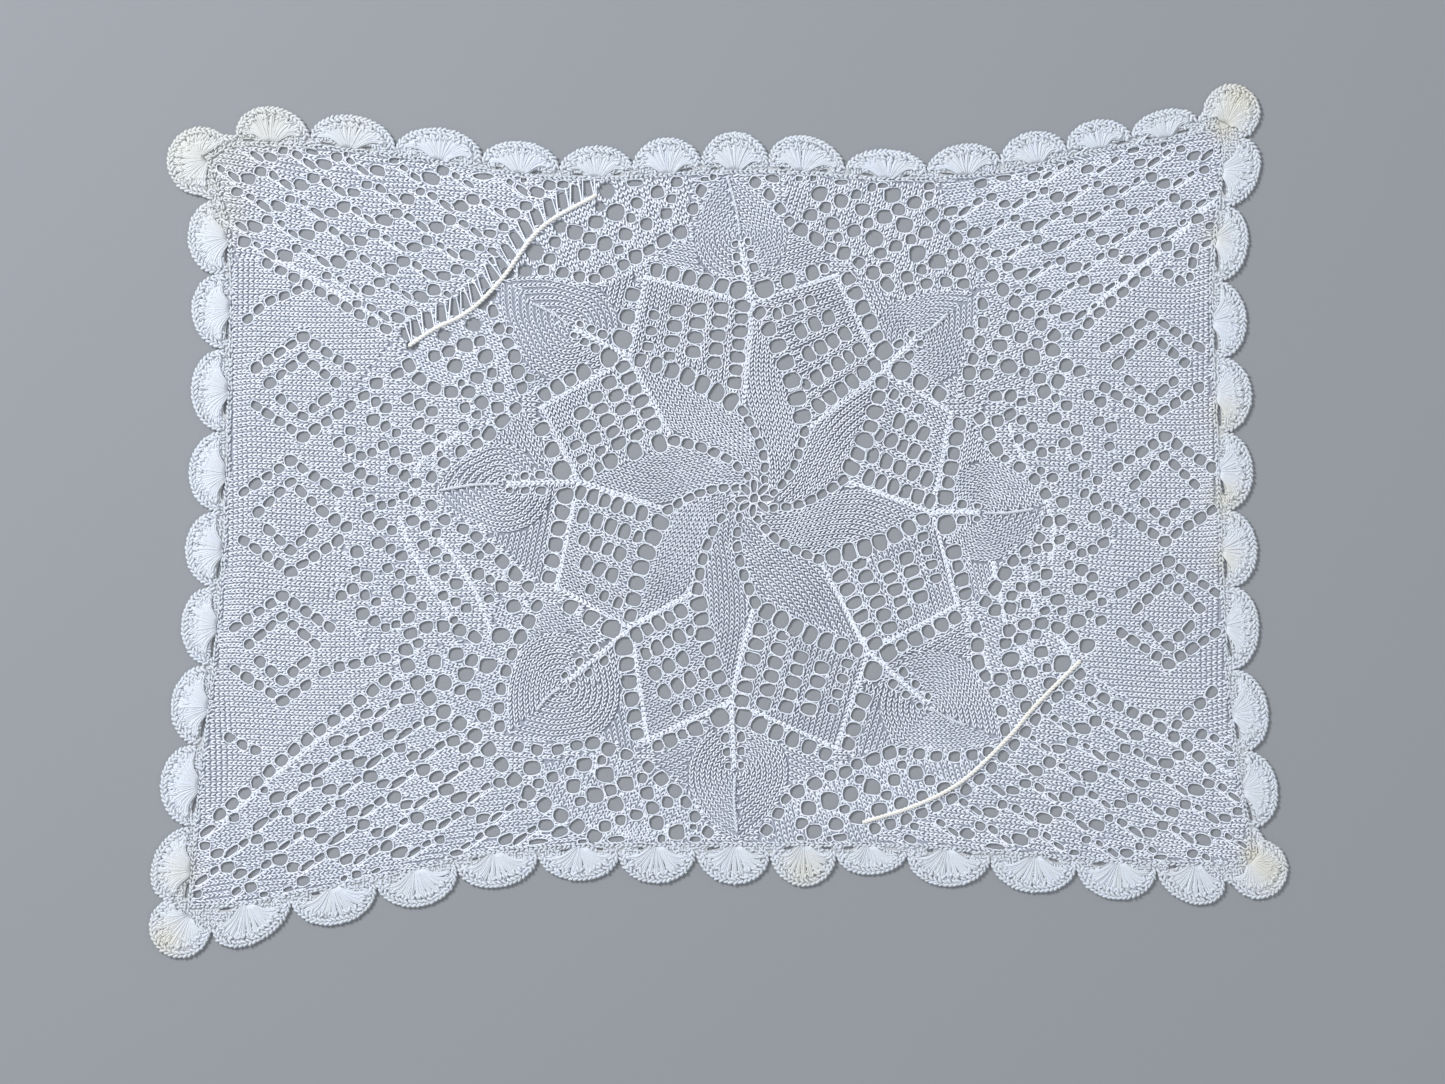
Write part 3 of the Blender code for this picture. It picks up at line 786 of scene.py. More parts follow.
def diamond_gaps(gaps):
    """The ring of gaps round each solid diamond, and the chevrons above and below it."""
    rng = np.random.default_rng(SEED)
    for d in DIAMONDS:
        middle = np.array([d.x, d.y])
        ring = Path([middle + (d.half_width * x, d.half_height * y) for x, y in
                     ((-1, 0), (0, 1), (1, 0), (0, -1), (-1, 0))])
        for place in np.linspace(2.6, ring.length - 2.6, RING_GAPS):
            along, across = np.array(DIAMOND_GAP) * rng.uniform(*DIAMOND_SPREAD, 2)
            gaps.fit(ring.at(place), along, across, angle_of(ring.heading(place)))
        for up in (1, -1):
            point = middle + (0, up * d.chevron)
            gaps.add(point, *CHEVRON_POINT, 0.0)
            for side in (1, -1):
                arm = unit(np.array([side, -up * CHEVRON_SLOPE]))
                for step in range(1, CHEVRON_GAPS + 1):
                    place = point + arm * step * CHEVRON_PITCH
                    along, across = np.array(DIAMOND_GAP) * rng.uniform(*DIAMOND_SPREAD, 2)
                    gaps.fit(place, along, across, angle_of(arm))


def chart_gaps(gaps, field, seed):
    """A small chart repeated over its field, with each gap a little off its place."""
    rng = np.random.default_rng(seed)
    outline = np.array(field.outline, float)
    origin, step, across = (np.array(pair) for pair in (field.origin, field.step, field.across))
    side = -1 if field.flip else 1
    span = np.ptp(outline, axis=0).sum()
    reach = int(span / min(math.hypot(*step), math.hypot(*across))) + 2
    for i in range(-reach, reach):
        for j in range(-reach, reach):
            base = origin + step * i + across * j
            if np.linalg.norm(base - outline.mean(axis=0)) > span:
                continue
            for cell in field.chart:
                middle = base + (cell.x * side, cell.y) + rng.uniform(-0.3, 0.3, 2)
                grown = rng.uniform(*CHART_SPREAD) * field.size
                inside = contains(outline, middle[None])[0] and contains(PANEL, middle[None])[0]
                if inside and distance_to(closed(outline), middle[None])[0] > field.margin:
                    room = 2 * (from_edge(middle[None])[0] - 1.0)
                    grown = min(grown, room / max(cell.along, cell.across))
                    if grown > 0.45:
                        turn = math.radians(cell.turn * side)
                        gaps.fit(middle, cell.along * grown, cell.across * grown, turn)


def field_gaps(gaps):
    """The charted gaps of the corners, the side lattices and the open mesh round the star."""
    for number, field in enumerate(FIELDS):
        chart_gaps(gaps, field, number)
    for k, outline in enumerate(FILLS):
        outwards = unit(SECTORS[k].apex - RING)
        sideways = left_of(outwards)
        cells = [Cell(*(outwards * out + sideways * side), along, across, 0)
                 for out, side, along, across in FILL_CHART]
        origin, across = SECTORS[k].apex + outwards * 8, outwards * 10 + sideways * 9
        step = sideways * FILL_PERIOD
        field = Field("mesh", cells, False, origin, step, across, 0.4, 1.1, outline)
        chart_gaps(gaps, field, SEED + k)


def seam_gaps(gaps):
    """Low gaps just inside the seam of the two long sides: long below the valleys, short between."""
    rng = np.random.default_rng(SEED + 5)
    leaves = [leaf_polygon(k) for k in range(PETALS)]
    for side in ("top", "bottom"):
        path = EDGE_PATHS[side]
        roots = [place for place, _ in SHELLS[side]]
        spots = [(root, 0.55) for root in roots]
        spots += [((a + b) / 2, 1.0) for a, b in zip(roots, roots[1:])]
        for spot, size in spots:
            if size < 1 and rng.uniform() < 0.5:
                continue
            size *= 1.0 if abs(spot) < 130 else 0.65
            place = path.crossing(0, spot) + rng.uniform(-2, 2)
            heading = path.heading(place)
            along, across = rng.uniform(4.4, 8.2) * size, rng.uniform(2.0, 3.2) * max(size, 0.7)
            middle = path.at(place) - left_of(heading) * (across / 2 + rng.uniform(1.2, 1.9))
            if not any(contains(leaf, middle[None])[0] for leaf in leaves):
                gaps.fit(middle, along, across, angle_of(heading) + rng.normal(0, 0.12), least=0.45)


def all_gaps():
    """Every gap of the panel, the ones that have first choice of room first."""
    gaps = Gaps()
    star_gaps(gaps)
    leaf_gaps(gaps)
    frame_gaps(gaps)
    diamond_gaps(gaps)
    seam_gaps(gaps)
    field_gaps(gaps)
    return gaps.rows


GAPS = all_gaps()


def ellipse_loops(rows, grow):
    """The outline of each gap as a loop of points, uneven as a pulled gap is, grown by a length."""
    rng = np.random.default_rng(SEED)
    count = len(rows)
    turn = np.linspace(0, math.tau, RIM_POINTS, endpoint=False)[None]
    phases = rng.uniform(0, math.tau, (3, count, 1))
    depths = rng.uniform(0.2, 1.0, (3, count, 1)) * np.array([0.09, 0.08, 0.05])[:, None, None]
    wobble = 1 + sum(depths[i] * np.cos((i + 2) * turn + phases[i]) for i in range(3))
    x, y = (np.sign(v) * np.abs(v) ** SQUARENESS for v in (np.cos(turn), np.sin(turn)))
    x = (rows[:, 2:3] / 2 * wobble + grow) * x
    y = (rows[:, 3:4] / 2 * wobble + grow) * y
    cosine, sine = np.cos(rows[:, 4:5]), np.sin(rows[:, 4:5])
    return rows[:, None, :2] + np.stack([x * cosine - y * sine, x * sine + y * cosine], -1)


def off_the_gaps(points):
    """Points pushed out of the gaps, and which of them are kept."""
    moved = points.copy()
    keep = np.ones(len(points), bool)
    for first in range(0, len(points), 2000):
        block = slice(first, first + 2000)
        share = ellipse_share(points[block, None], GAPS, STITCH_CLEARANCE)
        nearest = share.argmin(axis=1)
        share = np.maximum(share.min(axis=1), 1e-3)
        keep[block] = share > DROP_SHARE
        push = np.where(share < 1, 1 / share - 1, 0)[:, None]
        moved[block] += (points[block] - GAPS[nearest, :2]) * push
    return moved, keep


# Stitches have middles and the headings of their wales. Places are where grains of thread lie, how they
# turn and tilt, and half their length, width and height.
Stitches = namedtuple("Stitches", "middle heading")
Places = namedtuple("Places", "middle turn tilt size")


def gather(parts):
    """Several runs of stitches as one."""
    parts = [part for part in parts if len(part.middle)]
    return Stitches(np.vstack([p.middle for p in parts]), np.concatenate([p.heading for p in parts]))


def run_along(path, pitch, start=0.0):
    """Stitches evenly along a path."""
    places = np.arange(start, path.length, pitch)
    return Stitches(path.at(places), angle_of(path.heading(places)))


def chosen_of(stitches, chosen):
    """The stitches that a mask picks."""
    return Stitches(stitches.middle[chosen], stitches.heading[chosen])


def within(stitches, polygon):
    """The stitches whose middles lie inside a polygon."""
    return chosen_of(stitches, contains(polygon, stitches.middle))


def grid(polygon, heading):
    """Stitches in straight wales over a polygon."""
    polygon = np.array(polygon, float)
    middle = polygon.mean(axis=0)
    reach = np.linalg.norm(polygon - middle, axis=1).max()
    along = np.array([math.cos(heading), math.sin(heading)])
    count_along, count_across = int(reach / ROUND) + 1, int(reach / WALE) + 1
    i, j = np.mgrid[-count_along : count_along + 1, -count_across : count_across + 1]
    points = (
        middle
        + i.ravel()[:, None] * ROUND * along
        + (j.ravel()[:, None] + 0.5) * WALE * left_of(along)
    )
    return within(Stitches(points, np.full(len(points), heading)), polygon)


def petal_stitches():
    """Stitches in wales that follow each petal's swirl, the first one along its line of holes."""
    parts = []
    for k, sector in enumerate(SECTORS):
        path = wale_path(k)
        beside = -left_of(unit(sector.tip - sector.fork))
        polygon = petal_polygon(k)
        for wale in range(PETAL_WALES):
            shifted = Path(path + beside * (WALE * (wale + 0.6)))
            parts.append(within(run_along(shifted, ROUND), polygon))
    return gather(parts)


def fan_stitches():
    """Stitches along the bars of the fans, four wales to a column of holes."""
    parts = []
    wales = FAN_COLUMNS * 4 + 3
    for k, sector in enumerate(SECTORS):
        before = SECTORS[k - 1].tip
        for wale in range(wales):
            share = FAN_FIRST + FAN_SHARE * (wale - 1.5) / 4
            if not 0.0 <= share <= 0.98:
                continue
            bar = Path([lerp(sector.fork, before, share), lerp(sector.tip, sector.apex, share)])
            parts.append(run_along(bar, ROUND, 1.0))
    return gather(parts)


def leaf_side(k, side):
    """Rounds of stitches about a leaf's eye on one side of its midrib, and straight along its wing."""
    sector = SECTORS[k]
    eye = sector.eye
    polygon = leaf_polygon(k)
    rib = unit(sector.leaf_tip - eye)
    wing = unit(fan_point(k, side) - sector.tip)
    foot = left_of(wing) * side

    def off_rib(v):
        """How far the vectors reach away from the midrib."""
        return side * (rib[0] * v[..., 1] - rib[1] * v[..., 0])

    def around(v):
        """How far the vectors turn away from the midrib."""
        return np.arctan2(off_rib(v), v @ rib)

    spokes = leaf_outline(k, side) - eye
    turns, radii = around(spokes)[::-1], np.linalg.norm(spokes, axis=1)[::-1]
    shoulder = (sector.left if side > 0 else sector.right) - eye
    shoulder_turn, shoulder_reach = around(shoulder), math.hypot(*shoulder)
    last_turn = around(foot)
    foot_reach = (sector.tip - eye) @ foot - 0.6
    count = max(6, round(shoulder_reach / WALE))

    def reach(turn):
        """How far the outermost round lies from the eye at a turn."""
        by_outline = np.interp(turn, turns, radii)
        share = (turn - shoulder_turn) / max(last_turn - shoulder_turn, 1e-3)
        beyond = lerp(shoulder_reach, min(foot_reach, shoulder_reach * 1.05), share)
        return np.where(turn < shoulder_turn, by_outline, beyond)

    parts = []
    turn = np.linspace(0.02, last_turn, 60)
    spoke = np.cos(turn)[:, None] * rib + np.sin(turn)[:, None] * left_of(rib) * side
    for j in range(count):
        arc = Path(eye + spoke * (reach(turn) * (j + 0.6) / count)[:, None])
        if arc.length > ROUND:
            parts.append(run_along(arc, ROUND, ROUND * (0.2 + 0.5 * (j % 2))))
    foot_end = float(reach(np.array([last_turn]))[0])
    for j in range(int(foot_reach / (foot_end / count)) + 1):
        start = eye + foot * foot_end * (j + 0.6) / count
        inward = run_along(Path([start, start - wing * 40]), ROUND, ROUND * (0.8 - 0.5 * (j % 2)))
        parts.append(within(chosen_of(inward, off_rib(inward.middle - eye) > 0.9), polygon))
        outward = run_along(Path([start, start + wing * 60]), ROUND, ROUND * (0.2 + 0.5 * (j % 2)))
        away = outward.middle - eye
        clear = np.linalg.norm(away, axis=1) > reach(around(away)) + 0.6
        parts.append(within(chosen_of(outward, clear), polygon))
    return parts


def leaf_stitches():
    """The stitches of both sides of every leaf."""
    return gather([part for k in range(PETALS) for side in (1, -1) for part in leaf_side(k, side)])


# A zone's wales run along its heading, if they are straight
Zone = namedtuple("Zone", "kind polygon heading")


def all_zones():
    """The parts of the panel that hold their own wales, the later ones on top of the earlier."""
    zones = [Zone("mesh", outline, angle_of(SECTORS[k].apex - RING)) for k, outline in enumerate(FILLS)]
    for field in FIELDS:
        kind = field.name.split("_")[0]
        zones.append(Zone(kind, field.outline, angle_of(np.array(field.step))))
    zones += [Zone("leaf", leaf_polygon(k), None) for k in range(PETALS)]
    zones += [Zone("petal", petal_polygon(k), None) for k in range(PETALS)]
    zones += [Zone("fan", fan_polygon(k), None) for k in range(PETALS)]
    return zones


ZONES = all_zones()


def zone_of(points):
    """The number of the zone that each point lies in, or -1."""
    number_of = np.full(len(points), -1)
    for number, zone in enumerate(ZONES):
        number_of[contains(zone.polygon, points)] = number
    return number_of


def in_zone(stitches, number):
    """The stitches that lie in one zone."""
    return chosen_of(stitches, zone_of(stitches.middle) == number)


def only(stitches, kind):
    """The stitches that lie in the zones of one kind."""
    numbers = [number for number, zone in enumerate(ZONES) if zone.kind == kind]
    return chosen_of(stitches, np.isin(zone_of(stitches.middle), numbers))


def straight_stitches(kind):
    """Stitches in the zones of one kind, in straight wales."""
    parts = []
    for number, zone in enumerate(ZONES):
        if zone.kind == kind:
            run = in_zone(grid(zone.polygon, float(zone.heading)), number)
            parts.append(off_the_edge(run))
    return gather(parts)


def band_stitches():
    """What is left between the other parts, with level wales."""
    return off_the_edge(in_zone(grid(PANEL, 0.0), -1))


# Every stitch that is on the panel so far
LAID = []


def nearest_of(points):
    """A tree that finds the nearest of the points."""
    tree = KDTree(len(points))
    for number, (x, y) in enumerate(points):
        tree.insert((x, y, 0), number)
    tree.balance()
    return tree


def jittered(polygon, pitch, rng):
    """Points spread over a polygon, each a little off a square grid."""
    low, high = polygon.min(axis=0), polygon.max(axis=0)
    x, y = np.meshgrid(np.arange(low[0], high[0], pitch), np.arange(low[1], high[1], pitch))
    points = np.column_stack([x.ravel(), y.ravel()])
    points = points + rng.uniform(-0.25, 0.25, points.shape) * pitch
    return points[contains(polygon, points)]


def ground_places():
    """Single loose threads in the bare places between the parts, along the nearest stitch."""
    laid = gather(LAID)
    ahead = np.stack([np.cos(laid.heading), np.sin(laid.heading)], -1)
    beside = left_of(ahead)
    ends = [laid.middle + ahead * i * 0.75 + beside * j * 0.55 for i in (-1, 1) for j in (-1, 1)]
    tree = nearest_of(np.vstack(ends))
    turn_of = np.tile(laid.heading, 4)
    rng = np.random.default_rng(SEED)
    points = jittered(PANEL, GROUND_PITCH, rng)
    moved, keep = off_the_gaps(points)
    keep &= np.linalg.norm(moved - points, axis=1) < 0.4
    keep &= from_edge(points) > 1.2
    middles, turns = [], []
    for point in moved[keep]:
        _, number, away = tree.find((*point, 0))
        if away > BARE_REACH:
            middles.append(point)
            turns.append(turn_of[number])
    count = len(middles)
    return Places(
        np.column_stack([middles, rng.normal(FACE_HEIGHT - 0.03, 0.06, count)]),
        np.array(turns) + rng.choice([-0.35, 0.35], count) + rng.normal(0, 0.2, count),
        rng.normal(0, 0.1, count),
        uneven_sizes(LOOSE_GRAIN, count, 0.85, 1.15, rng),
    )


def off_the_edge(stitches):
    """The stitches that lie inside the rows worked along the seam."""
    inside = contains(PANEL, stitches.middle) & (from_edge(stitches.middle) > SEAM_ROWS)
    return chosen_of(stitches, inside)


def uneven_sizes(size, count, low, high, rng):
    """A size for each of the grains, a little off the one that they share."""
    return np.tile(size, (count, 1)) * rng.uniform(low, high, (count, 3))


def grain(sides, rings):
    """A closed grain of thread along X, one unit from its middle to each end."""
    mesh = bmesh.new()
    bmesh.ops.create_uvsphere(mesh, u_segments=sides, v_segments=rings, radius=1.0)
    bmesh.ops.rotate(mesh, verts=mesh.verts[:], matrix=Matrix.Rotation(-math.pi / 2, 3, "Y"))
    bmesh.ops.triangulate(mesh, faces=mesh.faces[:])
    mesh.verts.index_update()
    points = np.array([vert.co[:] for vert in mesh.verts])
    faces = np.array([[vert.index for vert in face.verts] for face in mesh.faces])
    mesh.free()
    return points, faces


def stain_at(points):
    """How strongly the faint marks show at each point."""
    total = np.zeros(len(points))
    for s in STAINS:
        away = np.linalg.norm(points[:, :2] - (s.x, s.y), axis=1)
        total += s.strength * np.exp(-((away / s.reach) ** 2))
    return np.clip(total, 0, 1)


def new_mesh(name, points, faces, tone):
    """A mesh from arrays in millimetres, with its tone and stains on its points."""
    mesh = bpy.data.meshes.new(name)
    mesh.vertices.add(len(points))
    mesh.vertices.foreach_set("co", (points * MM).ravel())
    mesh.loops.add(faces.size)
    mesh.loops.foreach_set("vertex_index", faces.ravel())
    mesh.polygons.add(len(faces))
    mesh.polygons.foreach_set("loop_start", np.arange(0, faces.size, faces.shape[1]))
    mesh.polygons.foreach_set("use_smooth", np.ones(len(faces), bool))
    mesh.update(calc_edges=True)
    mesh.validate()
    mark(mesh, points, tone)
    return mesh


def mark(mesh, points, tone):
    """Each point's tone and stain, which the cotton's colours are mixed by. On a back layer the tone is
    its share of painted shade.
    """
    for name, values in (("tone", tone), ("stain", stain_at(points))):
        attribute = mesh.attributes.new(name, "FLOAT", "POINT")
        attribute.data.foreach_set("value", np.asarray(values, np.float32))


def scatter(name, template, places):
    """One mesh of many copies of a template, each turned, tilted and sized in its place."""
    points, faces = template
    local = points[None] * places.size[:, None]
    cosine, sine = np.cos(places.tilt)[:, None], np.sin(places.tilt)[:, None]
    x = local[..., 0] * cosine - local[..., 2] * sine
    z = local[..., 0] * sine + local[..., 2] * cosine
    cosine, sine = np.cos(places.turn)[:, None], np.sin(places.turn)[:, None]
    world = np.stack([x * cosine - local[..., 1] * sine, x * sine + local[..., 1] * cosine, z], -1)
    world += places.middle[:, None]
    count = len(places.middle)
    copies = faces[None] + (np.arange(count) * len(points))[:, None, None]
    tone = np.random.default_rng(SEED).uniform(0, 1, count).repeat(len(points))
    return new_mesh(name, world.reshape(-1, 3), copies.reshape(-1, faces.shape[1]), tone)


def tubes(name, lines, widths, heights, sides):
    """One mesh of closed strands that follow lines of points, each with its half widths and heights."""
    count, steps = lines.shape[:2]
    ahead = np.gradient(lines[..., :2], axis=1)
    beside = left_of(unit(ahead))
    turn = np.arange(sides) / sides * math.tau
    flat = lines[:, :, None, :2] + beside[:, :, None] * (widths[..., None] * np.cos(turn))[..., None]
    high = lines[:, :, None, 2] + heights[..., None] * np.sin(turn)
    points = np.concatenate([flat, high[..., None]], -1).reshape(-1, 3)
    i, j = (v.ravel() for v in np.mgrid[: steps - 1, :sides])
    a, b = i * sides + j, i * sides + (j + 1) % sides
    faces = [np.stack([a, a + sides, b], -1), np.stack([b, a + sides, b + sides], -1)]
    k = np.arange(1, sides - 1)
    last = (steps - 1) * sides
    faces += [np.stack([k * 0, k, k + 1], -1), np.stack([k * 0 + last, k + 1 + last, k + last], -1)]
    faces = np.concatenate(faces)
    copies = faces[None] + (np.arange(count) * steps * sides)[:, None, None]
    tone = np.random.default_rng(SEED).uniform(0, 1, count).repeat(steps * sides)
    return new_mesh(name, points, copies.reshape(-1, 3), tone)


def legs(stitches, height=FACE_HEIGHT, grow=1.0, seed=SEED, uneven=1.0, width=1.0):
    """The two slanting front legs of each stitch, each a little out of line."""
    rng = np.random.default_rng(seed)
    count = len(stitches.middle)
    middles, turns = [], []
    for side in (1, -1):
        across = np.stack([-np.sin(stitches.heading), np.cos(stitches.heading)], -1)
        middles.append(stitches.middle + across * side * LEG_BESIDE * grow)
        turns.append(stitches.heading + side * LEG_TURN)
    middle = np.vstack(middles) + rng.normal(0, 0.06 * uneven, (count * 2, 2))
    lift = height + rng.normal(0, 0.04 * uneven, count * 2)
    settings = bpy.context.scene.lace_mat
    size = np.array([settings.leg_length, settings.leg_width * width, settings.leg_height])
    return Places(
        np.column_stack([middle, lift]),
        np.concatenate(turns) + rng.normal(0, math.radians(4) * uneven, count * 2),
        rng.normal(-LEG_TILT, 0.05 * uneven, count * 2),
        uneven_sizes(size / 2 / MM * grow, count * 2, 1 - 0.08 * uneven, 1 + 0.06 * uneven, rng),
    )


def drawn_back(places):
    """Grains with each end that would reach into a gap drawn back, or none if little is left."""
    tree = nearest_of(GAPS[:, :2])
    near = np.array([[found[1] for found in tree.find_n((x, y, 0), 5)] for x, y, _ in places.middle])
    ahead = np.stack([np.cos(places.turn), np.sin(places.turn)], -1)
    half = places.size[:, 0]
    free = []
    for way in (1, -1):
        kept = half.copy()
        for share in (1.0, 0.75, 0.5, 0.25):
            end = places.middle[:, :2] + ahead * (way * share * half)[:, None]
            into = (ellipse_share(end[:, None], GAPS[near], GRAIN_CLEARANCE) < 1).any(axis=1)
            kept[into] = half[into] * (share - 0.25)
        free.append(kept)
    front, back = free
    middle, size = places.middle.copy(), places.size.copy()
    middle[:, :2] += ahead * ((front - back) / 2)[:, None]
    size[:, 0] = (front + back) / 2
    left = size[:, 0] > SHORTEST_GRAIN
    return Places(middle[left], places.turn[left], places.tilt[left], size[left])


def chain(path, height, grow):
    """A line of stitches that stands a little above the rest."""
    return legs(run_along(path, CHAIN_PITCH, CHAIN_PITCH * 0.4), height, grow)


def together(parts):
    """Several runs of grains as one."""
    return Places(*(np.concatenate(columns) for columns in zip(*parts)))


def chain_paths():
    """The bright lines of chain, each with its path, its height and the size of its stitches."""
    paths = []
    for sector in SECTORS:
        inwards = -left_of(unit(sector.tip - sector.fork)) * 0.9
        paths.append((np.array([sector.fork, sector.tip]) + inwards, *PETAL_CHAIN))
    for k, sector in enumerate(SECTORS):
        for side in (1, -1):
            apex = fan_point(k, side)
            inwards = left_of(unit(apex - sector.tip)) * side * 1.6
            paths.append((np.array([sector.tip, apex]) + inwards, *FAN_CHAIN))
        paths.append((np.array([sector.tip, lerp(sector.tip, sector.eye, 0.9)]), *RIB_CHAIN))
    paths += [(smooth(points, 6), *RIDGE_CHAIN) for points in SIDE_RIDGES]
    return [(Path(points), height, grow) for points, height, grow in paths]


def twisted_cords(name, paths, cord):
    """Cords of two plies of thread that twist round each other along each path."""
    lines = []
    for path in paths:
        place = np.linspace(0, path.length, cord.steps)
        beside = left_of(path.heading(place))
        for first_turn in (0, math.pi):
            turn = place / CORD_TWIST * math.tau + first_turn
            flat = path.at(place) + beside * (cord.spread * np.cos(turn))[:, None]
            lines.append(np.column_stack([flat, CORD_HEIGHT + cord.spread * 0.9 * np.sin(turn)]))
    lines = np.array(lines)
    width, height = (np.full(lines.shape[:2], size) for size in cord.ply)
    return tubes(name, lines, width, height, cord.sides)


def midrib_paths():
    """The raised line from each leaf's tip down to its eye."""
    paths = []
    for k, sector in enumerate(SECTORS):
        start = lerp(sector.leaf_tip, sector.eye, MIDRIB_STARTS[k])
        bow = lerp(start, sector.eye, 0.55) + left_of(unit(sector.eye - start)) * 0.8
        paths.append(Path(smooth([start, bow, sector.eye], 6)))
    return paths


def decrease_places():
    """The smooth slanting decreases below the slits of the corners."""
    rng = np.random.default_rng(SEED)
    runs = []
    for field in FIELDS:
        if field.chart is not CORNER_CHART:
            continue
        side = -1 if field.flip else 1
        outline = np.array(field.outline, float)
        # No corner has more repeats than this
        for i in range(-16, 17):
            for j in range(-16, 17):
                step = np.array(field.step) * i + np.array(field.across) * j
                base = np.array(field.origin) + step
                start, end = base + (8.2 * side, 0.8), base + (17.5 * side, -5.6)
                if contains(outline, np.array([start, end])).all():
                    runs.append(run_along(Path([start, end]), 2.3, 1.0))
    run = gather(runs)
    count = len(run.middle)
    return Places(
        np.column_stack([run.middle + rng.normal(0, 0.1, (count, 2)), np.full(count, 0.92)]),
        run.heading + rng.normal(0, 0.08, count),
        rng.normal(0, 0.06, count),
        uneven_sizes(DECREASE_GRAIN, count, 0.85, 1.1, rng),
    )


def ladder_strands():
    """Two strands leave the first raised cord between each pair of its gaps, and spread."""
    path = Path(smooth(FRAME_LINES[0].points, 6))
    rng = np.random.default_rng(SEED)
    share = np.linspace(0, 1, 8)[:, None]
    lines = []
    for place in ladder_places(path):
        heading = path.heading(place)
        across = heading * LADDER_SLANT - left_of(heading)
        for way in (-1, 1):
            foot = path.at(place) + heading * way * 0.3
            spread = heading * way * (share**1.4 * rng.uniform(0.8, 1.2))
            flat = foot + across * share * rng.uniform(8.6, 9.8) + spread
            lines.append(np.hstack([flat, 1.15 - 0.35 * share]))
    lines = np.array(lines)
    width = rng.uniform(0.26, 0.38, (len(lines), 1)) * np.ones((1, 8))
    return tubes("ladder_strands", lines, width, width, 5)


Shell = namedtuple("Shell", "side root outwards rim")
Post = namedtuple("Post", "side path")


def side_shells(side, path):
    """The shells of one side, with the outwards direction at each one's root."""
    axis = 0 if side in ("top", "bottom") else 1
    rows = SHELLS[side]
    places = [place for place, _ in rows]
    names = list(SHELLS)
    after = names[(names.index(side) + 1) % len(names)]
    valleys = [np.array(CORNERS[side].end, float)]
    for a, b in zip(places, places[1:]):
        distance = path.crossing(axis, (a + b) / 2)
        valleys.append(path.at(distance) + left_of(path.heading(distance)) * VALLEY)
    valleys.append(np.array(CORNERS[after].start, float))
    shells = []
    for (place, height), start, end in zip(rows, valleys, valleys[1:]):
        distance = path.crossing(axis, place)
        seam, outwards = path.at(distance), left_of(path.heading(distance))
        middle = (start + end) / 2
        peak = seam + outwards * height
        turn = (np.arange(RIM_STEPS) / RIM_STEPS * math.pi)[:, None]
        rim = middle - (end - start) / 2 * np.cos(turn) + (peak - middle) * np.sin(turn)
        shells.append(Shell(side, seam + outwards * 0.7, outwards, rim))
    return shells


def corner_shell(side):
    """The round shell at the corner before a side."""
    corner = CORNERS[side]
    middle, start, end = (np.array(p, float) for p in (corner.middle, corner.start, corner.end))
    first, last = angle_of(start - middle), angle_of(end - middle)
    turn = (first - last) % math.tau
    angle = first - turn * np.arange(1, CORNER_TURN_STEPS) / CORNER_TURN_STEPS
    rim = middle + corner.radius * np.stack([np.cos(angle), np.sin(angle)], -1)
    root = np.array(corner.root, float)
    return Shell("corner", root, unit(middle - root), np.vstack([start[None], rim]))


def all_shells():
    """Every shell clockwise from the top left, each rim carried on to the start of the next."""
    shells = []
    for side in SHELLS:
        shells.append(corner_shell(side))
        shells += side_shells(side, EDGE_PATHS[side])
    starts = [shell.rim[:1] for shell in shells[1:] + shells[:1]]
    return [shell._replace(rim=np.vstack([shell.rim, start])) for shell, start in zip(shells, starts)]


SHELL_LIST = all_shells()


def treble_posts():
    """The line of each treble, from its shell's root to the inside of the rim."""
    rng = np.random.default_rng(SEED)
    posts = []
    for shell in SHELL_LIST:
        path = Path(shell.rim)
        count = max(7, round(path.length / TREBLE_PITCH))
        sideways = -left_of(shell.outwards)
        for share in np.linspace(0.05, 0.95, count) + rng.normal(0, 0.006, count):
            off_middle = share - 0.5
            target = path.at(path.length * share)
            foot = shell.root + sideways * off_middle * ROOT_SPREAD
            target = target + unit(foot - target) * (POST_END + rng.uniform(-0.3, 0.4))
            bend = lerp(foot, target, 0.5) + shell.outwards * abs(off_middle) * POST_BOW
            posts.append(Post(shell.side, Path(smooth([foot, bend, target], 6))))
    return posts


def treble_strands(posts):
    """Each treble is three strands that leave the root close together and widen towards the rim."""
    rng = np.random.default_rng(SEED)
    share = np.linspace(0, 1, 8)
    lines, widths = [], []
    for post in posts:
        look = TREBLES[post.side]
        place = share * post.path.length
        middle, beside = post.path.at(place), left_of(post.path.heading(place))
        grown = np.interp(share, (0, 0.8, 1), POST_WIDTH) * look.fullness
        swell = look.padding * np.sin(np.minimum(share / 0.8, 1) * math.pi)
        for strand in (-1, 0, 1):
            sway = 0.16 * np.sin(share * 5 + rng.uniform(0, math.tau)) * share
            off = grown * strand * rng.uniform(1.1, 1.35) + sway
            height = 0.95 + swell + (0.16 if strand == 0 else 0) + rng.normal(0, 0.06)
            lines.append(np.column_stack([middle + beside * off[:, None], height]))
            widths.append(grown * rng.uniform(0.85, 1.1) * np.interp(share, (0, 0.9, 1), (1, 1, 0.7)))
    widths = np.array(widths)
    return tubes("shell_trebles", np.array(lines), widths, 0.32 + widths * 0.35, 5)


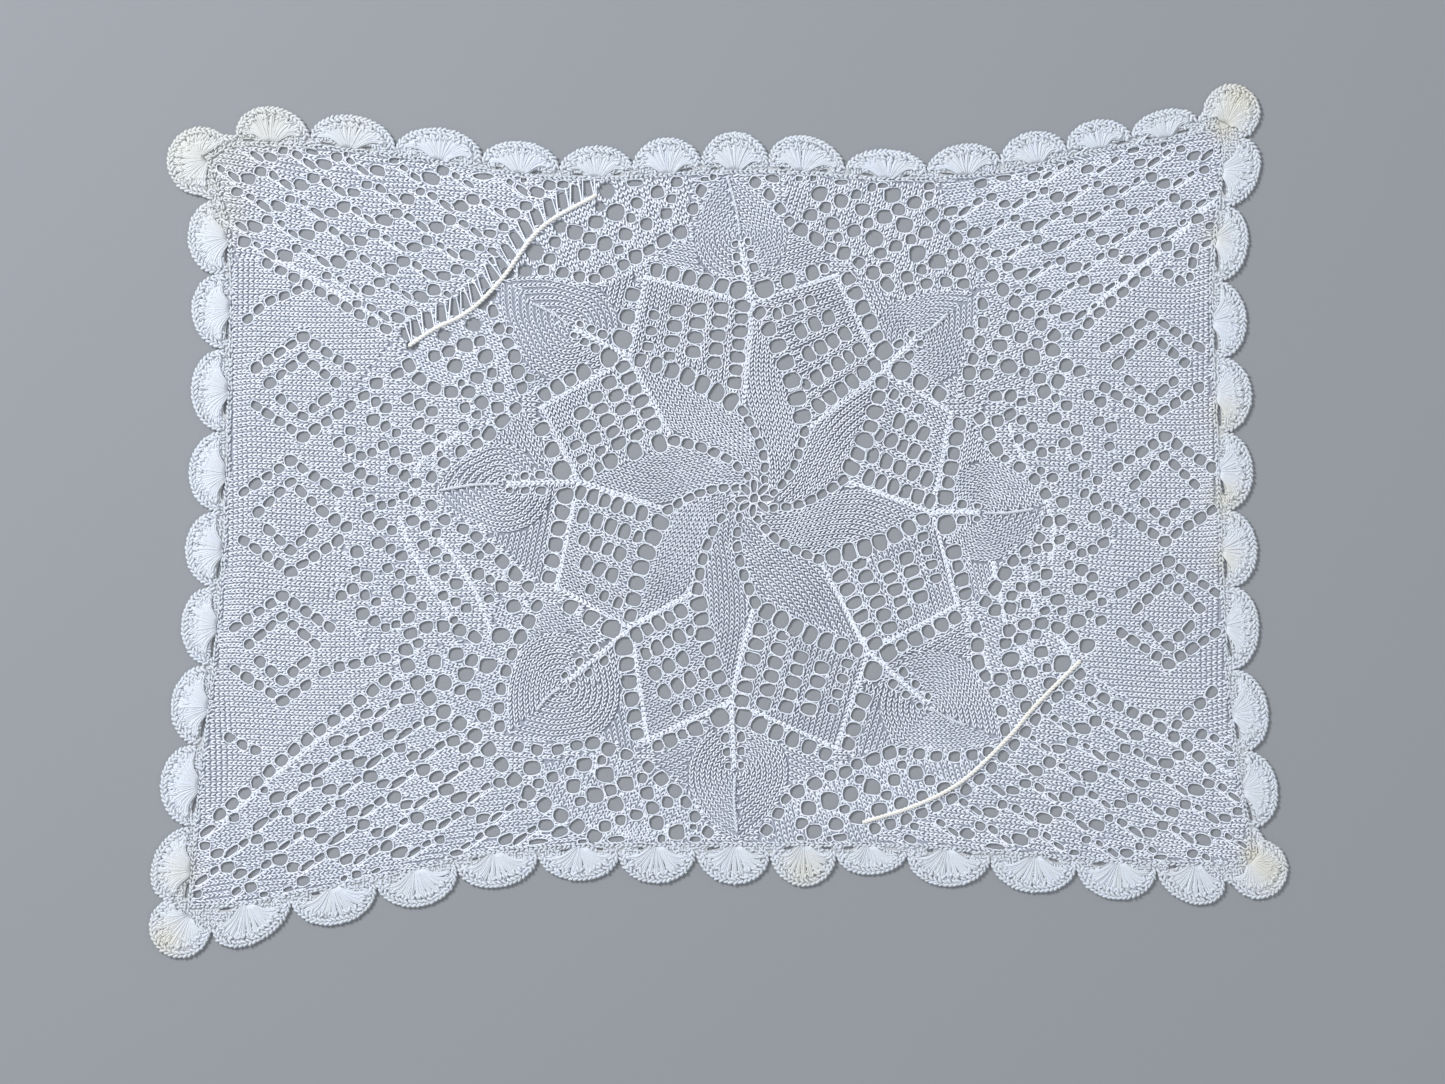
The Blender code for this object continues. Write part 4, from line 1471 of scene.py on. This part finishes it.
def treble_tops(posts):
    """The plump turns of thread on the outer part of each treble, in slanting pairs."""
    rng = np.random.default_rng(SEED + 1)
    middles, turns = [], []
    for post in posts:
        for share in TREBLES[post.side].tops:
            if rng.uniform() > 0.85:
                continue
            place = np.array([(share + rng.normal(0, 0.03)) * post.path.length])
            heading = post.path.heading(place)
            for side in (-1, 1):
                middles.append(post.path.at(place) + left_of(heading) * side * 0.72)
                turns.append(angle_of(heading) - side * 0.5)
    count = len(middles)
    middle = np.vstack(middles) + rng.normal(0, 0.12, (count, 2))
    return Places(
        np.column_stack([middle, rng.normal(1.5, 0.08, count)]),
        np.concatenate(turns) + rng.normal(0, 0.2, count),
        rng.normal(0, 0.08, count),
        uneven_sizes(TOP_GRAIN, count, 0.8, 1.15, rng),
    )


def rim_places():
    """The rounded edge of the shells: rows of plump turns that slant one way and then the other."""
    rng = np.random.default_rng(SEED)
    parts = []
    for shell in SHELL_LIST:
        path = Path(shell.rim)
        for row, inset in enumerate(RIM_INSETS):
            inner = Path(path.points - left_of(path.heading(path.reach)) * inset)
            run = run_along(inner, ROPE_PITCH, ROPE_PITCH * (0.4 + 0.5 * row))
            count = len(run.middle)
            slant = 0.5 if row == 0 else -0.6
            middle = run.middle + rng.normal(0, 0.12 * row, (count, 2))
            parts.append(
                Places(
                    np.column_stack([middle, 1.15 + 0.2 * row + rng.normal(0, 0.06, count)]),
                    run.heading + slant + rng.normal(0, 0.16, count),
                    rng.normal(0, 0.06, count),
                    uneven_sizes(RIM_GRAIN, count, 0.85, 1.15, rng),
                )
            )
    return together(parts)


def base_slits():
    """The slits by the seam at the ends of each shell's base, long ones on the two short sides."""
    rng = np.random.default_rng(SEED)
    slits = []
    for side, path in EDGE_PATHS.items():
        level = side in ("top", "bottom")
        for place, _ in SHELLS[side]:
            root = path.crossing(0 if level else 1, place)
            for way in (-1, 1):
                long = not level and way == (1 if side == "right" else -1)
                if not (level or long):
                    continue
                if level and rng.uniform() > 0.7:
                    continue
                centre = root + way * rng.uniform(6.5, 9.5)
                half = rng.uniform(3.4, 4.6) if long else rng.uniform(1.2, 3.2)
                middle = path.at(centre) + left_of(path.heading(centre)) * SLIT_PLACE
                turn = angle_of(path.heading(centre)) + way * rng.uniform(0.0, 0.25)
                wide = rng.uniform(1.4, 1.9) if long else rng.uniform(0.8, 1.7)
                slits.append((*middle, half * 2, wide, turn))
    return np.array(slits)


def seam_places():
    """The round of chain that joins the edging to the panel."""
    parts = []
    for path in EDGE_PATHS.values():
        inside = Path(path.points - left_of(path.heading(path.reach)) * 0.3)
        run = run_along(inside, 2.0, 0.5)
        parts.append(legs(run, 1.0, 1.0, SEED + len(parts), uneven=2.6))
    return together(parts)


def edging_ground(outline, slits, posts):
    """Loose turns of thread wherever the edging has neither a treble nor a slit."""
    taken = [post.path.at(np.linspace(0, post.path.length, 10)) for post in posts]
    taken += [path.at(np.arange(0, path.length, 1.0)) for path in EDGE_PATHS.values()]
    tree = nearest_of(np.vstack(taken))
    rng = np.random.default_rng(SEED)
    points = jittered(outline, EDGING_PITCH, rng)
    points = points[~contains(PANEL, points)]
    points = points[distance_to(closed(outline), points) > 1.3]
    clear = np.ones(len(points), bool)
    for x, y, along, across, turn in slits:
        away = points - (x, y)
        ahead = away @ (math.cos(turn), math.sin(turn))
        aside = away @ (-math.sin(turn), math.cos(turn))
        clear &= np.hypot(ahead / (along / 2 + 0.9), aside / (across / 2 + 0.5)) > 1
    bare = [point for point in points[clear] if tree.find((*point, 0))[2] > EDGING_REACH]
    points = np.array(bare)
    count = len(points)
    return Places(
        np.column_stack([points, rng.normal(0.9, 0.08, count)]),
        rng.uniform(0, math.tau, count),
        rng.normal(0, 0.12, count),
        uneven_sizes(GROUND_GRAIN, count, 0.85, 1.15, rng),
    )


def pulled_open_shade(points):
    """How far the knitting is pulled open, which sets how dark the back layer's painted shade is: fully
    in the star, and hardly at all towards the edge.
    """
    return np.interp(np.linalg.norm(points[:, :2] - RING, axis=1), (85, 135), (1, 0))


def put_in_order(things, place_of):
    """Put a mesh's points or faces in order of place, because an extrusion's order changes by chance."""
    for number, thing in enumerate(sorted(things, key=place_of)):
        thing.index = number
    things.sort()


def make_sheet(name, outline, holes, high):
    """A flat layer with holes cut through it, and a darker tone of painted shade where the knitting is
    pulled open.
    """
    points, faces = [], []
    for loop in [outline, *holes]:
        x, y = loop[:, 0], loop[:, 1]
        area = np.sum(x * np.roll(y, -1) - np.roll(x, -1) * y)
        first = len(points)
        points += [Vector(point) for point in (loop if area > 0 else loop[::-1])]
        faces.append(list(range(first, len(points))))
    found, _, triangles, _, _, inputs = delaunay_2d_cdt(points, [], faces, 0, 1e-4)
    sheet = bmesh.new()
    corners = [sheet.verts.new((point.x * MM, point.y * MM, high * MM)) for point in found]
    for triangle, within_faces in zip(triangles, inputs):
        if list(within_faces) == [0]:
            sheet.faces.new([corners[i] for i in triangle])
    loose = [vert for vert in sheet.verts if not vert.link_faces]
    bmesh.ops.delete(sheet, geom=loose, context="VERTS")
    below = bmesh.ops.extrude_face_region(sheet, geom=sheet.faces[:])
    moved = [item for item in below["geom"] if isinstance(item, bmesh.types.BMVert)]
    bmesh.ops.translate(sheet, verts=moved, vec=(0, 0, (BACK_LOW - high) * MM))
    bmesh.ops.recalc_face_normals(sheet, faces=sheet.faces[:])
    put_in_order(sheet.verts, lambda vert: vert.co[:])
    put_in_order(sheet.faces, lambda face: face.calc_center_median()[:])
    mesh = bpy.data.meshes.new(name)
    sheet.to_mesh(mesh)
    sheet.free()
    points = np.array([vert.co[:] for vert in mesh.vertices]) / MM
    mark(mesh, points, pulled_open_shade(points))
    return mesh


def eyelet_mesh(name, chosen):
    """A closed loop of thread round each chosen gap, uneven in height and thickness."""
    rng = np.random.default_rng(SEED)
    loops = ellipse_loops(GAPS, RIM_GROW)[chosen]
    count = len(loops)
    ahead = unit(np.roll(loops, -1, axis=1) - np.roll(loops, 1, axis=1))
    outwards = -left_of(ahead)
    turn = np.linspace(0, math.tau, RIM_POINTS, endpoint=False)
    wave = rng.uniform(0, math.tau, (2, count, 1))
    height = RIM_HEIGHT + 0.16 * np.sin(2 * turn + wave[0]) + 0.1 * np.sin(3 * turn + wave[1])
    half_width = bpy.context.scene.lace_mat.loop_width / 2 / MM
    radius = half_width * rng.uniform(0.65, 1.2, (count, RIM_POINTS))
    rings = []
    for angle in np.radians([90, 210, 330]):
        flat = loops + outwards * (radius * math.cos(angle))[..., None]
        rings.append(np.concatenate([flat, (height + radius * math.sin(angle))[..., None]], -1))
    points = np.stack(rings, axis=2)
    i = np.arange(RIM_POINTS)
    j = (i + 1) % RIM_POINTS
    faces = []
    for side in range(3):
        following = (side + 1) % 3
        faces.append(np.stack([i * 3 + side, j * 3 + side, j * 3 + following, i * 3 + following], -1))
    faces = np.concatenate(faces)
    copies = faces[None] + (np.arange(count) * RIM_POINTS * 3)[:, None, None]
    tone = rng.uniform(0, 1, count).repeat(RIM_POINTS * 3)
    return new_mesh(name, points.reshape(-1, 3), copies.reshape(-1, 4), tone)


def linear(code):
    """A hex colour as linear values."""
    values = [int(code[i : i + 2], 16) / 255 for i in (1, 3, 5)]
    curve = [v / 12.92 if v <= 0.04045 else ((v + 0.055) / 1.055) ** 2.4 for v in values]
    return (*curve, 1.0)


def add_node(tree, kind, inputs=None, **settings):
    """A node with its settings, its values and its links."""
    node = tree.nodes.new(kind)
    for name, value in settings.items():
        setattr(node, name, value)
    for name, value in (inputs or {}).items():
        if isinstance(value, bpy.types.NodeSocket):
            tree.links.new(value, node.inputs[name])
        else:
            node.inputs[name].default_value = value
    return node


def new_material(name, roughness):
    """A material with its node tree and its shader."""
    material = bpy.data.materials.new(name)
    material.use_nodes = True
    shader = material.node_tree.nodes["Principled BSDF"]
    shader.inputs["Roughness"].default_value = roughness
    return material, material.node_tree, shader


def mercerised_cotton(name):
    """Mercerised cotton thread: matt with a soft sheen, uneven in tone, with faint ivory marks. On the
    backs both colours are painted shade.
    """
    if name in bpy.data.materials:
        return bpy.data.materials[name]
    settings = bpy.context.scene.lace_mat
    cotton = COTTONS[name]
    light, dark = (linear(getattr(settings, colour)) for colour in (cotton.light, cotton.dark))
    material, tree, shader = new_material(name, 0.78)
    place = add_node(tree, "ShaderNodeTexCoord").outputs["Object"]
    tone = add_node(tree, "ShaderNodeAttribute", attribute_name="tone").outputs["Fac"]
    marks = add_node(tree, "ShaderNodeAttribute", attribute_name="stain").outputs["Fac"]
    cloudy = add_node(
        tree, "ShaderNodeTexNoise", {"Vector": place, "Scale": 1 / (CLOUDS * MM), "Detail": 3.0}
    )
    uneven = add_node(
        tree, "ShaderNodeMath", {0: tone, 1: cloudy.outputs["Fac"]}, operation="MULTIPLY"
    )
    # A Mix node's colours are its sockets 6 and 7, because their names are shared with its numbers
    shades = {0: uneven.outputs[0], 6: light, 7: dark}
    thread = add_node(tree, "ShaderNodeMix", shades, data_type="RGBA")
    shades = {0: marks, 6: thread.outputs[2], 7: linear(settings.mark)}
    worn = add_node(tree, "ShaderNodeMix", shades, data_type="RGBA")
    tree.links.new(worn.outputs[2], shader.inputs["Base Color"])
    fibres = add_node(
        tree, "ShaderNodeTexNoise", {"Vector": place, "Scale": 1 / (FIBRES * MM), "Detail": 2.0}
    )
    relief = {"Height": fibres.outputs["Fac"], "Strength": cotton.fibre, "Distance": 0.2 * MM}
    bump = add_node(tree, "ShaderNodeBump", relief)
    tree.links.new(bump.outputs["Normal"], shader.inputs["Normal"])
    shader.inputs["Sheen Weight"].default_value = 0.12
    shader.inputs["Sheen Roughness"].default_value = 0.5
    return material


def painted_board(name, colour):
    """A matt painted board: a plain pale ground with the least unevenness."""
    material, tree, shader = new_material(name, 0.9)
    place = add_node(tree, "ShaderNodeTexCoord").outputs["Object"]
    grit = add_node(
        tree, "ShaderNodeTexNoise", {"Vector": place, "Scale": 1 / (GRIT * MM), "Detail": 3.0}
    )
    relief = {"Height": grit.outputs["Fac"], "Strength": 0.05, "Distance": 0.1 * MM}
    bump = add_node(tree, "ShaderNodeBump", relief)
    tree.links.new(bump.outputs["Normal"], shader.inputs["Normal"])
    shader.inputs["Base Color"].default_value = linear(colour)
    return material


def piece(name, mesh, material):
    """A finished piece of the mat that rides on its body."""
    mesh.materials.append(mercerised_cotton(material))
    made = bpy.data.objects.new(name, mesh)
    bpy.context.scene.collection.objects.link(made)
    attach(made, BODY)
    return made


def grain_piece(name, sides, places, material):
    """A finished piece that is made of many grains of thread."""
    return piece(name, scatter(name, grain(sides, 3), places), material)


def drift(points):
    """How far the hand that spread the cloth has pulled the stitches at these points."""
    x, y = points[:, 0], points[:, 1]
    along = 1.1 * np.sin(y / 17 + 1.3) + 0.7 * np.sin((x + y) / 27)
    across = 1.1 * np.sin(x / 19 + 0.4) + 0.7 * np.sin((x - y) / 33 + 2)
    return np.stack([along, across], -1)


def stitch_piece(name, stitches, uneven=1.0, width=1.0):
    """A part of the knitting, with its stitches pushed out of the gaps and a little out of line."""
    near_edge = np.clip((from_edge(stitches.middle) - 2) / 8, 0, 1)
    pulled = stitches.middle + drift(stitches.middle) * near_edge[:, None]
    moved, keep = off_the_gaps(pulled)
    laid = Stitches(moved[keep], stitches.heading[keep])
    LAID.append(laid)
    places = drawn_back(legs(laid, uneven=uneven, width=width))
    return grain_piece(name, 3, places, KNITTED)


class LaceMatSettings(bpy.types.PropertyGroup):
    """Sizes of the thread, and colours of the mat and its stage."""

    leg_length: bpy.props.FloatProperty(
        name="Leg length",
        description="Length of each slanting leg of a stitch",
        default=0.0028,
        min=0.0001,
        subtype="DISTANCE",
        unit="LENGTH",
    )
    leg_width: bpy.props.FloatProperty(
        name="Leg width",
        description="Width of each slanting leg of a stitch",
        default=0.00116,
        min=0.0001,
        subtype="DISTANCE",
        unit="LENGTH",
    )
    leg_height: bpy.props.FloatProperty(
        name="Leg height",
        description="Thickness of each slanting leg of a stitch",
        default=0.001,
        min=0.0001,
        subtype="DISTANCE",
        unit="LENGTH",
    )
    loop_width: bpy.props.FloatProperty(
        name="Loop width",
        description="Width of the thread round each gap",
        default=0.00092,
        min=0.0001,
        subtype="DISTANCE",
        unit="LENGTH",
    )
    thread: bpy.props.StringProperty(
        name="Thread", description="Colour of the bleached cotton, as hex", default="#e9eef7"
    )
    thread_shade: bpy.props.StringProperty(
        name="Thread shade", description="Colour of the duller threads, as hex", default="#ced7e6"
    )
    # The back layer is coloured with painted shade, the dark seen between the stitches
    back: bpy.props.StringProperty(
        name="Back", description="Colour of the loops behind the stitches, as hex", default="#989eab"
    )
    # Painted shade, darker still, where the star is pulled open
    back_painted_shade: bpy.props.StringProperty(
        name="Back shade", description="Colour of the loops in the open star, as hex", default="#545962"
    )
    edging: bpy.props.StringProperty(
        name="Edging", description="Colour of the crocheted shells, as hex", default="#ccd2d9"
    )
    # Painted shade behind the trebles, the dark seen between them
    edging_back: bpy.props.StringProperty(
        name="Edging back", description="Colour behind the trebles, as hex", default="#b6babe"
    )
    cord: bpy.props.StringProperty(
        name="Cord", description="Colour of the raised cords, as hex", default="#e6e3da"
    )
    mark: bpy.props.StringProperty(
        name="Marks", description="Colour of the faint marks, as hex", default="#cfccbf"
    )
    floor: bpy.props.StringProperty(
        name="Floor", description="Colour of the floor, as hex", default="#8a8e94"
    )
    key_power: bpy.props.FloatProperty(
        name="Key light", description="Power of the main light", default=63.0, min=0.0, unit="POWER"
    )
    camera_height: bpy.props.FloatProperty(
        name="Camera height",
        description="Height of the camera above the mat",
        default=1.5,
        min=0.2,
        subtype="DISTANCE",
        unit="LENGTH",
    )


class LACE_OT_back(bpy.types.Operator):
    """Lay the back layer of the knitted panel, with every gap cut through it"""

    bl_idname = "lace.back"
    bl_label = "Back layer"

    def execute(self, context):
        LAID.clear()
        # The back layer's dim colour is painted shade, seen between the stitches
        mesh = make_sheet("panel_back", PANEL, ellipse_loops(GAPS, RIM_GROW * 0.7), BACK_HIGH)
        made = piece("panel_back", mesh, KNITTED_BACK_PAINTED_SHADE)
        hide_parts("knitted_panel")
        return {"FINISHED"}


class LACE_OT_star(bpy.types.Operator):
    """Knit the petals and the bars of the fans"""

    bl_idname = "lace.star"
    bl_label = "Petals and fans"

    def execute(self, context):
        stitch_piece("petal_stitches", only(petal_stitches(), "petal"), width=STRETCHED_WIDTH)
        stitch_piece("fan_stitches", only(fan_stitches(), "fan"), width=STRETCHED_WIDTH)
        return {"FINISHED"}


class LACE_OT_leaves(bpy.types.Operator):
    """Knit the eight leaves in rounds about their eyes"""

    bl_idname = "lace.leaves"
    bl_label = "Leaves"

    def execute(self, context):
        stitch_piece("leaf_stitches", only(leaf_stitches(), "leaf"), width=STRETCHED_WIDTH)
        return {"FINISHED"}


class LACE_OT_fields(bpy.types.Operator):
    """Knit the open mesh, the corners, the side lattices and the plain bands"""

    bl_idname = "lace.fields"
    bl_label = "Fields"

    def execute(self, context):
        stitch_piece("mesh_stitches", straight_stitches("mesh"), 1.3)
        stitch_piece("corner_stitches", straight_stitches("corner"), 1.5)
        stitch_piece("lattice_stitches", straight_stitches("side"), 1.4)
        stitch_piece("band_stitches", band_stitches())
        return {"FINISHED"}


class LACE_OT_eyelets(bpy.types.Operator):
    """Put a loop of thread round every gap but those by the first raised cord, and fill the bare places
    between the parts
    """

    bl_idname = "lace.eyelets"
    bl_label = "Eyelets"

    def execute(self, context):
        by_cord = distance_to(smooth(FRAME_LINES[0].points, 6), GAPS[:, :2]) < 6.5
        mesh = eyelet_mesh("eyelet_loops", ~by_cord)
        piece("eyelet_loops", mesh, KNITTED)
        places = drawn_back(ground_places())
        grain_piece("loose_threads", 3, places, KNITTED)
        return {"FINISHED"}


class LACE_OT_ridges(bpy.types.Operator):
    """Work the raised lines of chain, the frame's cords and the strands beside them"""

    bl_idname = "lace.ridges"
    bl_label = "Raised lines"

    def execute(self, context):
        chains = drawn_back(together([chain(*line) for line in chain_paths()]))
        grain_piece("chain_lines", 4, chains, KNITTED)
        cords = [Path(smooth(line.points, 6)) for line in FRAME_LINES if line.raised]
        mesh = twisted_cords("frame_cords", cords, FRAME_CORD)
        piece("frame_cords", mesh, TWISTED)
        mesh = twisted_cords("leaf_midribs", midrib_paths(), MIDRIB_CORD)
        piece("leaf_midribs", mesh, CROCHETED)
        places = drawn_back(decrease_places())
        grain_piece("decrease_lines", 4, places, KNITTED)
        piece("ladder_strands", ladder_strands(), KNITTED)
        return {"FINISHED"}


class LACE_OT_edging(bpy.types.Operator):
    """Crochet the shells round the panel and the round of chain that joins them"""

    bl_idname = "lace.edging"
    bl_label = "Shell edging"

    def execute(self, context):
        outline = np.vstack([shell.rim[:-1] for shell in SHELL_LIST])
        seam = PANEL + unit(PANEL - PANEL.mean(axis=0)) * 0.05
        slits = base_slits()
        holes = [seam, *ellipse_loops(slits, 0.0)]
        # The sheet behind the trebles is coloured with painted shade
        mesh = make_sheet("edging_back", outline, holes, BACK_HIGH + EDGING_RISE)
        back = piece("edging_back", mesh, CROCHETED_BACK_PAINTED_SHADE)
        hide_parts("crochet_edging")
        posts = treble_posts()
        piece("shell_trebles", treble_strands(posts), CROCHETED)
        for name, places in (
            ("shell_tops", treble_tops(posts)),
            ("shell_rims", rim_places()),
            ("shell_ground", edging_ground(outline, slits, posts)),
            ("seam_chain", seam_places()),
        ):
            grain_piece(name, 4, places, CROCHETED)
        return {"FINISHED"}


class LACE_OT_cloth(bpy.types.Operator):
    """A step that leaves every piece as it is"""

    bl_idname = "lace.cloth"
    bl_label = "Declare the cloth"

    def execute(self, context):
        # The edging is worked as one strip along the seam
        return {"FINISHED"}


class LACE_OT_stage(bpy.types.Operator):
    """Set the floor, the lights and the camera straight above the mat"""

    bl_idname = "lace.stage"
    bl_label = "Stage"

    def execute(self, context):
        settings = context.scene.lace_mat
        mesh = bmesh.new()
        bmesh.ops.create_grid(mesh, x_segments=1, y_segments=1, size=FLOOR_REACH)
        floor_mesh = bpy.data.meshes.new("floor")
        mesh.to_mesh(floor_mesh)
        mesh.free()
        floor_mesh.materials.append(painted_board("painted_board", settings.floor))
        floor = bpy.data.objects.new("floor", floor_mesh)
        context.scene.collection.objects.link(floor)
        for lamp in LAMPS:
            add_light(lamp.name, lamp.place, lamp.size, settings.key_power * lamp.share)
        world = bpy.data.worlds.new("studio")
        world.use_nodes = True
        background = world.node_tree.nodes["Background"]
        background.inputs["Color"].default_value = linear(SKY_COLOUR)
        background.inputs["Strength"].default_value = SKY_STRENGTH
        context.scene.world = world
        context.scene.view_settings.view_transform = "Standard"
        camera_data = bpy.data.cameras.new("camera")
        camera = bpy.data.objects.new("camera", camera_data)
        width = IMAGE_WIDTH * MM_PER_PIXEL * MM
        camera_data.lens = camera_data.sensor_width * settings.camera_height / width
        camera.location = (VIEW_MIDDLE[0] * MM, VIEW_MIDDLE[1] * MM, settings.camera_height)
        context.scene.collection.objects.link(camera)
        context.scene.camera = camera
        return {"FINISHED"}


def add_light(name, place, size, power):
    """A soft square light that faces the mat."""
    data = bpy.data.lights.new(name, "AREA")
    data.size = size
    data.energy = power
    light = bpy.data.objects.new(name, data)
    light.location = place
    light.rotation_euler = (-Vector(place)).to_track_quat("-Z", "Y").to_euler()
    bpy.context.scene.collection.objects.link(light)


class LACE_PT_panel(bpy.types.Panel):
    """Lists the steps that build the placemat"""

    bl_label = "Lace Placemat"
    bl_idname = "LACE_PT_panel"
    bl_space_type = "VIEW_3D"
    bl_region_type = "UI"
    bl_category = "Lace"

    def draw(self, context):
        for operator in OPERATORS:
            self.layout.operator(operator.bl_idname)
        for name in LaceMatSettings.__annotations__:
            self.layout.prop(context.scene.lace_mat, name)


OPERATORS = (
    LACE_OT_back,
    LACE_OT_star,
    LACE_OT_leaves,
    LACE_OT_fields,
    LACE_OT_eyelets,
    LACE_OT_ridges,
    LACE_OT_edging,
    LACE_OT_cloth,
    LACE_OT_stage,
)
CLASSES = (LaceMatSettings, *OPERATORS, LACE_PT_panel)


def register():
    """Add the settings, the operators and the panel."""
    for cls in CLASSES:
        bpy.utils.register_class(cls)
    bpy.types.Scene.lace_mat = bpy.props.PointerProperty(type=LaceMatSettings)


def unregister():
    """Take them away again."""
    del bpy.types.Scene.lace_mat
    for cls in reversed(CLASSES):
        bpy.utils.unregister_class(cls)


def main():
    """Build the mat with its stage."""
    register()
    for operator in OPERATORS:
        category, name = operator.bl_idname.split(".")
        getattr(getattr(bpy.ops, category), name)()


if __name__ == "__main__":
    main()
